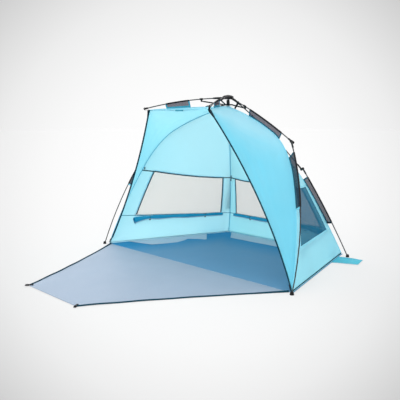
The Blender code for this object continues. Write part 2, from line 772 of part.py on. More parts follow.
def cloth_mesh(points, faces, thickness, lift=0.0):
    """Give an open sheet its thickness on the outer side, lifted off its surface."""
    shape = bmesh.new()
    vertices = [shape.verts.new(point) for point in points]
    for face in faces:
        shape.faces.new([vertices[index] for index in face])
    loose = [vertex for vertex in shape.verts if not vertex.link_faces]
    bmesh.ops.delete(shape, geom=loose, context="VERTS")
    shape.normal_update()
    for vertex in shape.verts:
        vertex.co += vertex.normal * lift
    mesh = bpy.data.meshes.new("cloth")
    shape.to_mesh(mesh)
    shape.free()
    holder = bpy.data.objects.new("cloth", mesh)
    PARTS.objects.link(holder)
    solid = holder.modifiers.new("thickness", "SOLIDIFY")
    solid.thickness = thickness
    solid.offset = 1.0
    solid.use_even_offset = True
    result = evaluated_mesh(holder)
    bpy.data.objects.remove(holder, do_unlink=True)
    return result


def window_places():
    """Return the rows of a wall, with lines at its window's edges and hems."""
    top, foot = 1.0 + WINDOW_TOP_SHARE, 1.0 + WINDOW_FOOT_SHARE
    hem = WINDOW_HEM / SIDE_ELBOW.z
    rows = span(APEX_TRIM, 1.0 - RIDGE_ROUND_SHARES[0], 5)
    rows += span(1.0 - RIDGE_ROUND_SHARES[0] / 2, 1.0 + RIDGE_ROUND_SHARES[1], 4)
    rows += [top - hem, top] + span(top, foot, 4)[1:] + [foot + hem, 2.0]
    return rows


def roof_places():
    """Return the rows of the roof over the doorway."""
    return span(APEX_TRIM, 1.0, ROOF_ROWS)


def window_shares(edges, width):
    """Return the columns of a wall, with lines at its window's edges and hems."""
    hem = WINDOW_HEM / width
    left, right = edges
    return [0.0, left - hem] + span(left, right, 5) + [right + hem, 1.0]


SIDE_WALL = Sheet(SIDE_RIDGE, REAR_RIDGE, WALL_SAG)
BACK_WALL = Sheet(REAR_RIDGE, mirrored(REAR_RIDGE), WALL_SAG)
FRONT_PANEL = Sheet(front_ridge, SIDE_RIDGE, FRONT_PANEL_SAG)
ROOF_GORE = Sheet(mirrored(front_ridge), front_ridge, ROOF_SAG)
SIDE_WALL_LENGTH = (BACK_CORNER - FRONT_CORNER).length
WINDOW_HOLE = (1.0 + WINDOW_TOP_SHARE, 1.0 + WINDOW_FOOT_SHARE)


def make_walls():
    """Make the side and back walls with their window holes, and the mesh of the windows."""
    places = window_places()
    hem = WINDOW_HEM / SIDE_ELBOW.z
    top, foot = WINDOW_HOLE
    mesh_places = [place for place in places if top - hem - GAP < place < foot + hem + GAP]
    for name, wall, edges, width in (("side", SIDE_WALL, SIDE_WINDOW_SHARES, SIDE_WALL_LENGTH),
                                     ("back", BACK_WALL, BACK_WINDOW_SHARES, BACK_WIDTH)):
        shares = window_shares(edges, width)
        panel = cloth_mesh(*wall.grid(places, shares, (WINDOW_HOLE, edges)), CLOTH)
        points, faces = wall.grid(mesh_places, shares[1:-1])
        net = cloth_mesh(points, [face[::-1] for face in faces], MESH_CLOTH, GAP)
        if name == "side":
            add_pair("side_wall", panel, "wall", smooth=False)
            add_pair("window_mesh_side", net, "window", smooth=False)
        else:
            named_object("back_wall", panel, "wall")
            named_object("window_mesh_back", net, "window")


def make_front():
    """Make the roof gore over the doorway and the panels beside it."""
    rows = roof_places() + span(1.0, LAST_FRONT_ROW_SHARE, FRONT_ROWS)[1:]
    panel = cloth_mesh(*FRONT_PANEL.grid(rows, span(0.0, 1.0, 6)), CLOTH)
    add_pair("front_panel", panel, "canopy", smooth=False)
    gore = cloth_mesh(*ROOF_GORE.grid(roof_places(), span(0.0, 1.0, ROOF_ROWS)), CLOTH)
    named_object("roof_gore", gore, "canopy")


def make_strip(name, rail, rows, pole, shares, places):
    """Make the mesh strip that joins a pole to the ridge under it."""
    points = []
    faces = []
    scale = (places[1] - places[0]) / (shares[1] - shares[0])
    stops = pole.stops + [shares[0] + (row - places[0]) / scale for row in rows]
    stops = sorted(stop for stop in stops if shares[0] < stop < shares[1])
    for index, share in enumerate([shares[0]] + stops + [shares[1]]):
        centre = chord(pole.point, pole.stops, share)
        foot = chord(rail, rows, places[0] + (share - shares[0]) * scale)
        along = (foot - centre).normalized()
        run = pole.direction(share)
        across = (along - run * along.dot(run)).normalized()
        points.append(centre + across * (POLE_RADIUS + 2.0 * GAP))
        points.append(foot - along * STRIP_HEM_GAP)
        if index:
            low = 2 * index
            faces.append((low - 2, low - 1, low + 1, low))
    half = -MESH_CLOTH / 2
    add_pair(name, cloth_mesh(points, faces, MESH_CLOTH, half), "strip", smooth=False)


def make_strips():
    """Make the strips along the front arms, the side arms and all four legs."""
    rows = window_places()
    make_strip("strip_front_arm", front_ridge, roof_places(), FRONT_ARM, FRONT_STRIP_SHARES,
               FRONT_SEAM_SHARES)
    make_strip("strip_side_arm", SIDE_RIDGE, rows, SIDE_ARM, SIDE_ARM_STRIP_SHARES,
               SIDE_ARM_SEAM_SHARES)
    make_strip("strip_side_leg", SIDE_RIDGE, rows, SIDE_LEG, SIDE_LEG_STRIP_SHARES,
               SIDE_LEG_SEAM_SHARES)
    make_strip("strip_rear_leg", REAR_RIDGE, rows, REAR_LEG, REAR_LEG_STRIP_SHARES,
               REAR_LEG_SEAM_SHARES)


def make_apex():
    """Make the patch on top of the canopy and the strap that ties it to the hub."""
    low = APEX + UP * (CLOTH + 2.0 * GAP)
    patch = rod(low, low + UP * CLOTH, PATCH_RADIUS, steps=HUB_STEPS)
    named_object("apex_patch", patch, "canopy")
    foot = low.z + CLOTH + GAP
    top = HUB_HEIGHT - HUB_UNDERSIDE - GAP
    centre = Vector((0.0, 0.0, (foot + top) / 2))
    strap = block(centre, Vector((1.0, 0.0, 0.0)), Vector((0.0, 1.0, 0.0)),
                  (STRAP_WIDTH, STRAP_THICKNESS, top - foot))
    named_object("apex_strap", strap, "webbing")


def make_roll(wall, edges, width):
    """Return the cover rolled up and tied under its window, thicker and lower at one end."""
    columns = window_shares(edges, width)[2:-2]
    points = []
    radii = []
    for share in span(0.0, 1.0, ROLL_POINTS):
        across = edges[0] + (edges[1] - edges[0]) * share
        thick = ROLL_THICK_SHARES[0] + (ROLL_THICK_SHARES[1] - ROLL_THICK_SHARES[0]) * share
        hang = WINDOW_HEM + ROLL_HANG + ROLL_DROOP * (1.0 - share)
        place = WINDOW_HOLE[1] + hang / SIDE_ELBOW.z
        seat = chord(lambda column: wall.row_point(place, column), columns, across)
        points.append(seat - wall.normal_hint(place) * (ROLL_RADIUS * thick + ROLL_GAP))
        radii.append(thick)
    return tube(points, ROLL_RADIUS, radii)


def make_rolls():
    """Make the three rolled window covers, which lie inside the walls."""
    add_pair("window_roll_side", make_roll(SIDE_WALL, SIDE_WINDOW_SHARES, SIDE_WALL_LENGTH), "roll")
    roll = make_roll(BACK_WALL, BACK_WINDOW_SHARES, BACK_WIDTH)
    round_shading(named_object("window_roll_back", roll, "roll"))


def flat_sheet(name, outline, finish, pivot=None):
    """Make a flat sheet on the ground from a filled outline."""
    curve = bpy.data.curves.new(name, "CURVE")
    curve.dimensions = "2D"
    curve.fill_mode = "BOTH"
    curve.extrude = CLOTH / 2
    spline = curve.splines.new("POLY")
    spline.points.add(len(outline) - 1)
    for index, (out, back) in enumerate(outline):
        spline.points[index].co = (out, back, 0.0, 1.0)
    spline.use_cyclic_u = True
    holder = bpy.data.objects.new(name, curve)
    CUTTERS.objects.link(holder)
    mesh = evaluated_mesh(holder)
    bpy.data.objects.remove(holder, do_unlink=True)
    shape = bmesh.new()
    shape.from_mesh(mesh)
    bmesh.ops.remove_doubles(shape, verts=shape.verts, dist=GAP / 10)
    bmesh.ops.translate(shape, verts=shape.verts, vec=UP * (CLOTH / 2))
    part = named_object(name, mesh_from(shape), finish)
    if pivot is not None:
        set_origin(part, pivot)


def make_floor():
    """Make the groundsheet, with a sand flap at each back corner."""
    front = Vector((FRONT_CORNER.x, FRONT_CORNER.y))
    back = Vector((BACK_CORNER.x, BACK_CORNER.y))
    run = back - front
    out = Vector((run.y, -run.x)).normalized()
    edge = out * FLOOR_MARGIN
    flap_start = front.lerp(back, FLAP_SHARES[0])
    flap_end = front.lerp(back, FLAP_SHARES[1])
    middle = (flap_start + flap_end) / 2
    tip = out * FLAP_LENGTH
    right = [front, front + edge, flap_start + edge,
             middle.lerp(flap_start, FLAP_TIP_SHARE) + tip, middle.lerp(flap_end, FLAP_TIP_SHARE) + tip,
             flap_end + edge, back + edge, Vector((back.x, back.y + FLOOR_MARGIN))]
    outline = [(point.x, point.y) for point in right]
    outline += [(-out_, back_) for out_, back_ in reversed(outline)]
    flat_sheet("floor", outline, "floor")


def make_door():
    """Make the door panel, laid flat in front of the sill, with hollowed side edges."""
    sill = -HUB_TO_SILL - GAP
    length = DOORWAY_TOP.z - DOOR_LENGTH_MARGIN
    wide = FRONT_CORNER.x - DOOR_SIDE_MARGIN
    narrow = DOORWAY_TOP.x - DOOR_TOP_MARGIN
    edge = []
    for share in span(0.0, 1.0, DOOR_EDGE_POINTS):
        half = wide + (narrow - wide) * share
        half -= DOOR_EDGE_BOW * 4.0 * share * (1.0 - share)
        edge.append((half, sill - length * share))
    outline = edge + [(-out, back) for out, back in reversed(edge)]
    flat_sheet("door_panel", outline, "door", Vector((0.0, sill, CLOTH)))


def make_sliders():
    """Make the zip sliders that close the door panel up the doorway's edges."""
    run = (DOORWAY_TOP - FRONT_CORNER).normalized()
    depth = Vector((0.0, -1.0, 0.0))
    across = run.cross(depth).normalized()
    place = 2.0 - SLIDER_START / (DOORWAY_TOP - FRONT_CORNER).length
    seat = front_ridge(place) + depth * (SLIDER_DEPTH / 2 + CLOTH + 4.0 * GAP)
    body = block(seat, run, across, (SLIDER_HEIGHT, SLIDER_WIDTH, SLIDER_DEPTH))
    half = across * SLIDER_WIDTH
    eye = seat - run * (SLIDER_HEIGHT / 4)
    bore = rod(eye - half, eye + half, SLIDER_BORE_RADIUS)
    add_pair("zip_slider", carve(body, cut=[bore]), "steel", seat, smooth=False)


clear_scene()
PARTS = make_collection("beach_tent")
CUTTERS = make_collection("cutters")
make_hub()
make_runner()
for arm_ in ARMS:
    make_arm(arm_)
for arm_ in STRUT_ARMS:
    make_bracket(arm_)
    make_strut(arm_)
for leg_ in LEGS:
    make_elbow(leg_)
    make_leg(leg_)
    make_foot(leg_)
make_cap()
make_walls()
make_front()
make_strips()
make_apex()
make_rolls()
make_floor()
make_door()
make_sliders()
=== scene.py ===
import math

import bmesh
import bpy
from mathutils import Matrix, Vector, noise


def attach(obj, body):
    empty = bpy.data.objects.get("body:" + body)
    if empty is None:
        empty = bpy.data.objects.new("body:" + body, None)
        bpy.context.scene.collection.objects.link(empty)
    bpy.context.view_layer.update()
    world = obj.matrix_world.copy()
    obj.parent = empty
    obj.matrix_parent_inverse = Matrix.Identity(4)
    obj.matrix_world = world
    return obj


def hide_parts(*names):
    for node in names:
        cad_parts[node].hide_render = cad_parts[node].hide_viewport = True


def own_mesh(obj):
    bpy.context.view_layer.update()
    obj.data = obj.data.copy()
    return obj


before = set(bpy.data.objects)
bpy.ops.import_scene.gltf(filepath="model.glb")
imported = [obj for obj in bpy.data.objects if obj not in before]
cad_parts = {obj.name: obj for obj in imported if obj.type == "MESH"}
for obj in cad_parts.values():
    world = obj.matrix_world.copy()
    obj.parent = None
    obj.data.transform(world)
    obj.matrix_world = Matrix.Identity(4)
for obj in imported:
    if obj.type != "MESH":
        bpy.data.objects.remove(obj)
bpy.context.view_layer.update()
scene = bpy.context.scene
scene.view_settings.view_transform = "Standard"

# Sizes of the pitched tent in metres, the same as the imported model's
UP = Vector((0.0, 0.0, 1.0))
SIDEWAYS = Vector((1.0, 0.0, 0.0))
FORWARD = Vector((0.0, -1.0, 0.0))
HUB_TOP = Vector((0.0, 0.0, 1.512))
APEX = Vector((0.0, 0.0, 1.432))
CAP_POINT = Vector((0.423, -0.662, 1.409))
SIDE_ELBOW = Vector((0.876, -0.140, 1.125))
REAR_ELBOW = Vector((0.454, 0.564, 0.832))
SIDE_FOOT = Vector((1.238, -0.585, 0.006))
REAR_FOOT = Vector((0.873, 0.765, 0.006))
FLOOR_FRONT, FLOOR_BACK = -0.545, 0.83
FRONT_HALF, BACK_HALF = 1.21, 0.765
FLOOR_MARGIN = 0.010
FRONT_CORNER = Vector((FRONT_HALF, FLOOR_FRONT, 0.0023))
BACK_CORNER = Vector((BACK_HALF, FLOOR_BACK, 0.0023))
DOORWAY_TOP = Vector((0.394, -0.638, 1.397))
DOOR_START, DOOR_LENGTH = -0.5473, 1.366
SILL_HALF, DOOR_END_HALF = 1.18, 0.35
HUB_PIVOT_RADIUS = 0.042
POLE_RADIUS = 0.005
ELBOW_STEP = 0.021
STRIP_WIDTH = 0.052
RIDGE_ROUND = (0.22, 0.20)
WINDOW_ROWS = (1.30, 1.73)
REAR_ROWS = (0.165, 0.687)
SIDE_WINDOW = (0.14, 0.905)
BACK_WINDOW = (0.08, 0.92)

# Bows of the doorway's edges and of the door's sides, which follow the photo more
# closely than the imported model's
DOORWAY_BOW = Vector((0.025, 0.074, 0.0))
DOOR_SIDE_BOW = 0.028

# Heights of creases, and of the cloth above its seams
FLOOR_CREASE, DOOR_CREASE = 0.006, 0.013
CLOTH_LIFT = 0.001

# The tent's sides, and the body that the canopy moves with
SIDES = ("right", "left")
ROOT = "canopy_and_hub"


def bowed(start, end, bow, share):
    """Return a point on a line that the bow vector bends, at a share of its length."""
    return start.lerp(end, share) + bow * (4.0 * share * (1.0 - share))


def span(first, last, count):
    """Return evenly spaced values from first to last."""
    return [first + (last - first) * index / (count - 1) for index in range(count)]


def flipped(point):
    """Return the mirror image of a point in the tent's middle plane."""
    return Vector((-point.x, point.y, point.z))


def sided(point, side):
    """Return a right-hand point, or its mirror image for the left side."""
    return point if side == "right" else flipped(point)


def railed(rail, side):
    """Return a right-hand seam, or its mirror image for the left side."""
    return rail if side == "right" else lambda place: flipped(rail(place))


class Arm:
    """A right-hand arm of the frame, from its pin in the hub to its outer end."""

    def __init__(self, end, bow):
        self.end = end
        self.out = Vector((end.x, end.y, 0.0)).normalized()
        self.tangent = UP.cross(self.out)
        self.pivot = HUB_TOP + self.out * HUB_PIVOT_RADIUS
        self.along = (end - self.pivot).normalized()
        self.over = self.along.cross(self.tangent)
        self.bow = self.over * bow

    def point(self, share):
        """Return a point of the bowed pole."""
        return bowed(self.pivot, self.end, self.bow, share)


class Leg(Arm):
    """A right-hand leg of the frame, from the elbow's pin to the foot."""

    def __init__(self, arm, foot, bow):
        self.end = foot
        hinge = arm.along.cross((foot - arm.end).normalized()).normalized()
        self.pivot = arm.end - hinge * ELBOW_STEP
        self.along = (foot - self.pivot).normalized()
        self.outward = (arm.along - self.along * arm.along.dot(self.along)).normalized()
        self.bow = self.outward * bow


FRONT_ARM = Arm(CAP_POINT, 0.022)
SIDE_ARM = Arm(SIDE_ELBOW, 0.020)
REAR_ARM = Arm(REAR_ELBOW, 0.025)
SIDE_LEG = Leg(SIDE_ARM, SIDE_FOOT, 0.082)
REAR_LEG = Leg(REAR_ARM, REAR_FOOT, 0.018)


def ridge(arm, leg, base, rise, wall_bow, rows):
    """Return the seam under an arm and its leg: hub 0, elbow 1, ground 2."""
    out = (arm.along - leg.along).normalized()
    corner = arm.end - out * (STRIP_WIDTH / math.cos(arm.along.angle(leg.along) / 2))
    roof_bow = arm.over * rise
    wall_out = leg.outward * wall_bow
    # Rows 0.30 and 0.73 are a window's edges, and lie at the seam's shares that rows gives
    knots = ((0.0, 0.0), (0.30, rows[0]), (0.73, rows[1]), (1.0, 1.0))

    def straight(place):
        if place <= 1.0:
            return bowed(APEX, corner, roof_bow, place)
        row = min(place - 1.0, 1.0)
        for (low, first), (high, last) in zip(knots, knots[1:]):
            if row <= high:
                row = first + (last - first) * (row - low) / (high - low)
                break
        return bowed(corner, base, wall_out, row)

    def rounded(place):
        first, last = 1.0 - RIDGE_ROUND[0], 1.0 + RIDGE_ROUND[1]
        if place <= first or place >= last:
            return straight(place)
        share = (place - first) / (last - first)
        low = straight(first).lerp(corner, share)
        return low.lerp(corner.lerp(straight(last), share), share)

    return rounded


SIDE_RIDGE = ridge(SIDE_ARM, SIDE_LEG, FRONT_CORNER, 0.040, 0.060, (0.30, 0.73))
REAR_RIDGE = ridge(REAR_ARM, REAR_LEG, BACK_CORNER, 0.050, 0.020, REAR_ROWS)


def front_ridge(place):
    """Return the seam under a front arm over 0 to 1, then the doorway's edge over 1 to 2."""
    if place <= 1.0:
        return bowed(APEX, DOORWAY_TOP, UP * 0.006, place)
    return bowed(DOORWAY_TOP, FRONT_CORNER, DOORWAY_BOW, place - 1.0)


class Cloth:
    """A sewn panel ruled between two seams, drawn in by a sag and softly creased."""

    def __init__(self, start, end, sag, seed, last=2.0):
        self.start = start
        self.end = end
        self.sag = sag
        self.last = last
        self.seed = Vector((seed, 3.1 * seed, 1.7 * seed))

    def hint(self, place):
        """Return the outward direction at the middle of a row."""
        near, far = max(place - 0.05, 0.0), min(place + 0.05, 2.0)
        down = self.start(far) + self.end(far) - self.start(near) - self.end(near)
        return down.cross(self.end(place) - self.start(place)).normalized()

    def point(self, place, share, lift=0.0):
        """Return a point of the cloth, lifted outwards."""
        across = 4.0 * share * (1.0 - share)
        soft = min(0.20 * across, max(place - 0.02, 0.0), max(self.last - place, 0.0))
        flat = Vector()
        for step, weight in ((-1.0, 0.12), (-0.5, 0.22), (0.0, 0.32), (0.5, 0.22), (1.0, 0.12)):
            row = place + soft * step
            flat += self.start(row).lerp(self.end(row), share) * weight
        down = math.sin(math.pi * min(max(place / 2.0, 0.0), 1.0))
        folds = Vector((share * 7.0 + place * 1.5, place * 1.6, 0.0))
        drape = 0.0045 * noise.noise(flat * 2.6 + self.seed)
        drape += 0.0018 * noise.noise(flat * 8.0 + self.seed)
        drape += 0.0050 * noise.noise(folds + self.seed)
        drape *= min(across * 2.0, 1.0) * min((2.0 - place) * 6.0, 1.0)
        return flat + self.hint(place) * (CLOTH_LIFT + lift + drape - self.sag * across * down)

    def out(self, place, share):
        """Return the outward normal of the cloth."""
        reach = 0.012
        place = min(max(place, reach), 2.0 - reach)
        share = min(max(share, reach), 1.0 - reach)
        down = self.point(place + reach, share) - self.point(place - reach, share)
        across = self.point(place, share + reach) - self.point(place, share - reach)
        return down.cross(across).normalized()


LEFT_FRONT, LEFT_SIDE, LEFT_REAR = (railed(rail, "left") for rail in (front_ridge, SIDE_RIDGE, REAR_RIDGE))
ROOF = Cloth(LEFT_FRONT, front_ridge, 0.011, 1.0, last=1.0)
BACK = Cloth(REAR_RIDGE, LEFT_REAR, 0.018, 2.0)
FRONT = {"right": Cloth(front_ridge, SIDE_RIDGE, 0.022, 3.0), "left": Cloth(LEFT_SIDE, LEFT_FRONT, 0.022, 4.0)}
SIDE = {"right": Cloth(SIDE_RIDGE, REAR_RIDGE, 0.018, 5.0), "left": Cloth(LEFT_REAR, LEFT_SIDE, 0.018, 6.0)}
SIDE_HOLES = {"right": SIDE_WINDOW, "left": (1.0 - SIDE_WINDOW[1], 1.0 - SIDE_WINDOW[0])}


# Materials

def colour(red, green, blue):
    """Return the linear colour of an sRGB one given from 0 to 255."""
    parts = [value / 255.0 for value in (red, green, blue)]
    return tuple(v / 12.92 if v <= 0.04045 else ((v + 0.055) / 1.055) ** 2.4 for v in parts) + (1.0,)


def scaled(tone, amount):
    """Return a colour made lighter or darker."""
    return tuple(min(part * amount, 1.0) for part in tone[:3]) + (1.0,)


def node(tree, kind, inputs=None, **settings):
    """Add a node, with its settings and its inputs set or linked."""
    made = tree.nodes.new(kind if "Node" in kind else "ShaderNode" + kind)
    for key, value in settings.items():
        setattr(made, key, value)
    for key, value in (inputs or {}).items():
        if isinstance(value, bpy.types.NodeSocket):
            tree.links.new(value, made.inputs[key])
        else:
            made.inputs[key].default_value = value
    return made


def value_of(tree, kind, inputs=None, output=0, **settings):
    """Add a node and return one of its outputs."""
    return node(tree, kind, inputs, **settings).outputs[output]


def blank(name, **inputs):
    """Return a new material, its tree and its Principled shader."""
    material = bpy.data.materials.new(name)
    material.use_nodes = True
    tree = material.node_tree
    shader = tree.nodes["Principled BSDF"]
    for key, value in inputs.items():
        shader.inputs[key.replace("_", " ")].default_value = value
    return material, tree, shader


def noise_of(tree, vector, scale, detail=2.0):
    """Return a noise pattern's value over the given coordinates."""
    return value_of(tree, "TexNoise", {"Vector": vector, "Scale": scale, "Detail": detail})


def stretched(tree, vector, scale):
    """Return coordinates stretched by a scale for each axis."""
    return value_of(tree, "Mapping", {"Vector": vector, "Scale": scale})


def two_tone(tree, factor, first, second):
    """Return a colour between two, by a factor from 0 to 1."""
    return value_of(tree, "Mix", {0: factor, 6: first, 7: second}, 2, data_type="RGBA")


def math_of(tree, operation, *values):
    """Return the result of a sum or a comparison."""
    return value_of(tree, "Math", dict(enumerate(values)), operation=operation)


def ranged(tree, value, low, high, new_low=0.0, new_high=1.0):
    """Return a value moved from one range to another."""
    sockets = {"Value": value, "From Min": low, "From Max": high, "To Min": new_low, "To Max": new_high}
    return value_of(tree, "MapRange", sockets)


def shaded(tree, shader, through, share):
    """Mix a share of another shader into a material or a world."""
    output = next(item for item in tree.nodes if item.bl_idname.startswith("ShaderNodeOutput"))
    mixed = value_of(tree, "MixShader", {"Fac": share, 1: shader.outputs[0], 2: through})
    tree.links.new(mixed, output.inputs["Surface"])


def dress(tree, shader, tint, height, strength, distance, roughness=None):
    """Give a shader its colour, its relief and its roughness, and return the relief."""
    bump = value_of(tree, "Bump", {"Height": height, "Strength": strength, "Distance": distance})
    tree.links.new(tint, shader.inputs["Base Color"])
    tree.links.new(bump, shader.inputs["Normal"])
    if roughness:
        tree.links.new(roughness, shader.inputs["Roughness"])
    return bump


def woven(tree, threads, slub):
    """Return the height of a plain weave over the cloth's own UV."""
    surface = value_of(tree, "UVMap", uv_map="surface")
    warp = noise_of(tree, stretched(tree, surface, (threads, threads * slub, 1.0)), 1.0, 1.0)
    weft = noise_of(tree, stretched(tree, surface, (threads * slub, threads, 1.0)), 1.0, 1.0)
    return math_of(tree, "MAXIMUM", warp, weft)


def tent_cloth(name, outer, inner, through, sheer, sky_highlight=None, sheen=0.25):
    """Make coated polyester with a fine weave that lets light through; its inside is painted lighter on down-facing
    cloth, and its up-facing outside is painted towards a highlight colour when one is given.
    """
    material, tree, shader = blank(name, Sheen_Weight=sheen, Sheen_Roughness=0.4,
                                   Specular_IOR_Level=0.35, Sheen_Tint=(0.9, 0.97, 1.0, 1.0))
    weave = woven(tree, 700.0, 0.12)
    place = value_of(tree, "TexCoord", output="Object")
    shade = ranged(tree, noise_of(tree, place, 2.2, 3.0), 0.3, 0.7)
    face = two_tone(tree, shade, scaled(outer, 0.95), scaled(outer, 1.04))
    reverse = two_tone(tree, shade, scaled(inner, 0.97), scaled(inner, 1.03))
    geometry = node(tree, "NewGeometry").outputs
    rise = value_of(tree, "SeparateXYZ", {"Vector": geometry["Normal"]}, "Z")
    # Painted highlight: up-facing outer cloth turns towards the highlight colour, as the sky lights it.
    if sky_highlight is not None:
        face = two_tone(tree, ranged(tree, rise, 0.35, 0.85), face, sky_highlight)
    # Painted light: down-facing inner cloth turns nearly white, as light comes through the roof above it.
    reverse = two_tone(tree, ranged(tree, rise, -0.85, -0.20, 1.0, 0.0), reverse, (0.80, 1.0, 1.0, 1.0))
    tint = two_tone(tree, geometry["Backfacing"], face, reverse)
    tint = two_tone(tree, ranged(tree, weave, 0.45, 0.7, 0.0, 0.10), tint, scaled(outer, 0.6))
    bump = dress(tree, shader, tint, weave, 0.35, 0.0005, ranged(tree, weave, 0.3, 0.7, 0.49, 0.63))
    glow = value_of(tree, "BsdfTranslucent", {"Color": through, "Normal": bump})
    shaded(tree, shader, glow, sheer)
    return material


def from_walls(tree, place):
    """Return how far a point of the floor lies from the left or the back wall."""
    wall_slope, wall_reach = -0.3236, 1.0336
    parts = node(tree, "SeparateXYZ", {"Vector": place}).outputs
    wall = math_of(tree, "MULTIPLY_ADD", parts["Y"], wall_slope, wall_reach)
    aside = math_of(tree, "ADD", wall, parts["X"])
    ahead = math_of(tree, "SUBTRACT", FLOOR_BACK, parts["Y"])
    return math_of(tree, "MINIMUM", aside, ahead)


def ground_cloth(name, tone, rear, shine=0.35):
    """Make the heavier woven cloth of the floor and the door panel, with painted shade that deepens its tint near
    the left and the back wall.
    """
    material, tree, shader = blank(name, Roughness=0.6, Specular_IOR_Level=shine)
    weave = woven(tree, 420.0, 0.16)
    place = value_of(tree, "TexCoord", output="Object")
    # Painted shade: the tint deepens towards the rear colour near the left and the back wall.
    base = two_tone(tree, ranged(tree, from_walls(tree, place), 0.20, 0.62), rear, tone)
    clouds = ranged(tree, noise_of(tree, place, 1.6, 4.0), 0.3, 0.7, 0.0, 0.12)
    tint = two_tone(tree, clouds, base, scaled(tone, 0.6))
    tint = two_tone(tree, ranged(tree, weave, 0.45, 0.7, 0.0, 0.14), tint, scaled(tone, 0.65))
    dress(tree, shader, tint, weave, 0.4, 0.0006, ranged(tree, weave, 0.3, 0.7, 0.52, 0.68))
    return material


def netting(name, seen, unseen, least, most, threads, sheer=0.0):
    """Make see-through netting from crossed threads, with another tint on its back, for painted light and shade
    where the two tints differ.
    """
    material, tree, shader = blank(name, Roughness=0.7, Specular_IOR_Level=0.2)
    thread = ranged(tree, woven(tree, threads, 0.45), 0.42, 0.66)
    tint = two_tone(tree, value_of(tree, "NewGeometry", output="Backfacing"), seen, unseen)
    tint = two_tone(tree, ranged(tree, thread, 0.0, 1.0, 0.25, 0.0), tint, scaled(unseen, 0.6))
    tree.links.new(tint, shader.inputs["Base Color"])
    tree.links.new(ranged(tree, thread, 0.0, 1.0, least, most), shader.inputs["Alpha"])
    if sheer:
        shaded(tree, shader, value_of(tree, "BsdfTranslucent", {"Color": tint}), sheer)
    return material


def tape(name, tone, rib=500.0, depth=0.0004):
    """Make binding tape or webbing, ribbed across its length."""
    material, tree, shader = blank(name, Roughness=0.7, Specular_IOR_Level=0.15)
    surface = value_of(tree, "UVMap", uv_map="surface")
    ribs = noise_of(tree, stretched(tree, surface, (rib * 0.3, rib, 1.0)), 1.0, 1.0)
    tint = two_tone(tree, ranged(tree, ribs, 0.35, 0.65), scaled(tone, 0.8), scaled(tone, 1.15))
    fuzz = ranged(tree, noise_of(tree, surface, 60.0), 0.3, 0.7, 0.0, 0.3)
    dress(tree, shader, two_tone(tree, fuzz, tint, scaled(tone, 1.3)), ribs, 0.5, depth)
    return material


def moulded(name, tone, roughness, grain=900.0, depth=0.0001, metallic=0.0):
    """Make moulded plastic, rubber or metal with a fine grain and light wear."""
    material, tree, shader = blank(name, Metallic=metallic, Specular_IOR_Level=0.3)
    place = value_of(tree, "TexCoord", output="Object")
    scuffs = ranged(tree, noise_of(tree, place, 45.0, 4.0), 0.45, 0.75)
    tint = two_tone(tree, ranged(tree, scuffs, 0.0, 1.0, 0.0, 0.1), tone, scaled(tone, 2.4))
    dress(tree, shader, tint, noise_of(tree, place, grain), 0.3, depth,
          ranged(tree, scuffs, 0.0, 1.0, roughness, roughness + 0.15))
    return material


def fibreglass(name, tone):
    """Make pultruded fibreglass: a satin skin with mottled fibres under it."""
    material, tree, shader = blank(name, Coat_Weight=0.12, Coat_Roughness=0.25, Specular_IOR_Level=0.3)
    place = value_of(tree, "TexCoord", output="Object")
    fibres = noise_of(tree, place, 260.0, 3.0)
    streaks = ranged(tree, noise_of(tree, place, 24.0), 0.45, 0.75, 0.0, 0.25)
    tint = two_tone(tree, ranged(tree, fibres, 0.35, 0.65), scaled(tone, 0.7), scaled(tone, 1.5))
    tint = two_tone(tree, streaks, tint, scaled(tone, 2.0))
    tree.links.new(tint, shader.inputs["Base Color"])
    tree.links.new(ranged(tree, fibres, 0.3, 0.7, 0.3, 0.48), shader.inputs["Roughness"])
    return material


# CANOPY, ROOF_CLOTH, WALL, BACK_WALL and HEM are one fabric in lit and shaded copies: each one's tones are painted
# lighter or darker for how light falls on its panels, and the inner tones are painted lighter than the outer ones
# for the light that comes through the cloth. CANOPY's last colour is a painted highlight for its up-facing outside.
INNER = colour(206, 247, 253)
OUTER = colour(158, 235, 248)
THROUGH = colour(178, 244, 255)
FLAP_TONE = colour(40, 172, 194)
ROLL_TONE = colour(0, 146, 188)
DOOR_TONE = colour(141, 157, 176)
WINDOW_LIGHT_TONE = colour(172, 186, 202)
STRIP_TONE = colour(66, 60, 74)
DARK_STRIP_TONE = colour(24, 44, 60)
CANOPY = tent_cloth("canopy cloth", colour(117, 211, 234), colour(122, 225, 250), colour(152, 239, 255), 0.50,
                    sky_highlight=colour(176, 228, 240))
ROOF_CLOTH = tent_cloth("roof cloth", colour(122, 217, 241), colour(196, 248, 255), colour(205, 252, 255), 0.55)
WALL = tent_cloth("wall cloth", OUTER, INNER, THROUGH, 0.42)
BACK_WALL = tent_cloth("back wall cloth", OUTER, colour(152, 245, 253), THROUGH, 0.38)
HEM = tent_cloth("hem cloth", colour(132, 222, 243), colour(160, 232, 248), THROUGH, 0.25)
FLAP = tent_cloth("sand flap cloth", FLAP_TONE, FLAP_TONE, colour(60, 190, 220), 0.2, sheen=0.1)
ROLL = tent_cloth("window cover cloth", ROLL_TONE, ROLL_TONE, colour(0, 130, 180), 0.10, sheen=0.0)
# The floor's second colour is painted shade, deeper and bluer near the left and the back wall.
FLOOR = ground_cloth("floor cloth", colour(88, 136, 170), colour(0, 122, 172), shine=0.2)
DOOR = ground_cloth("door panel cloth", DOOR_TONE, DOOR_TONE)
# Painted light: a pale floor cloth for the light that comes in through the windows.
WINDOW_LIGHT = ground_cloth("painted window light cloth", WINDOW_LIGHT_TONE, WINDOW_LIGHT_TONE, shine=0.2)
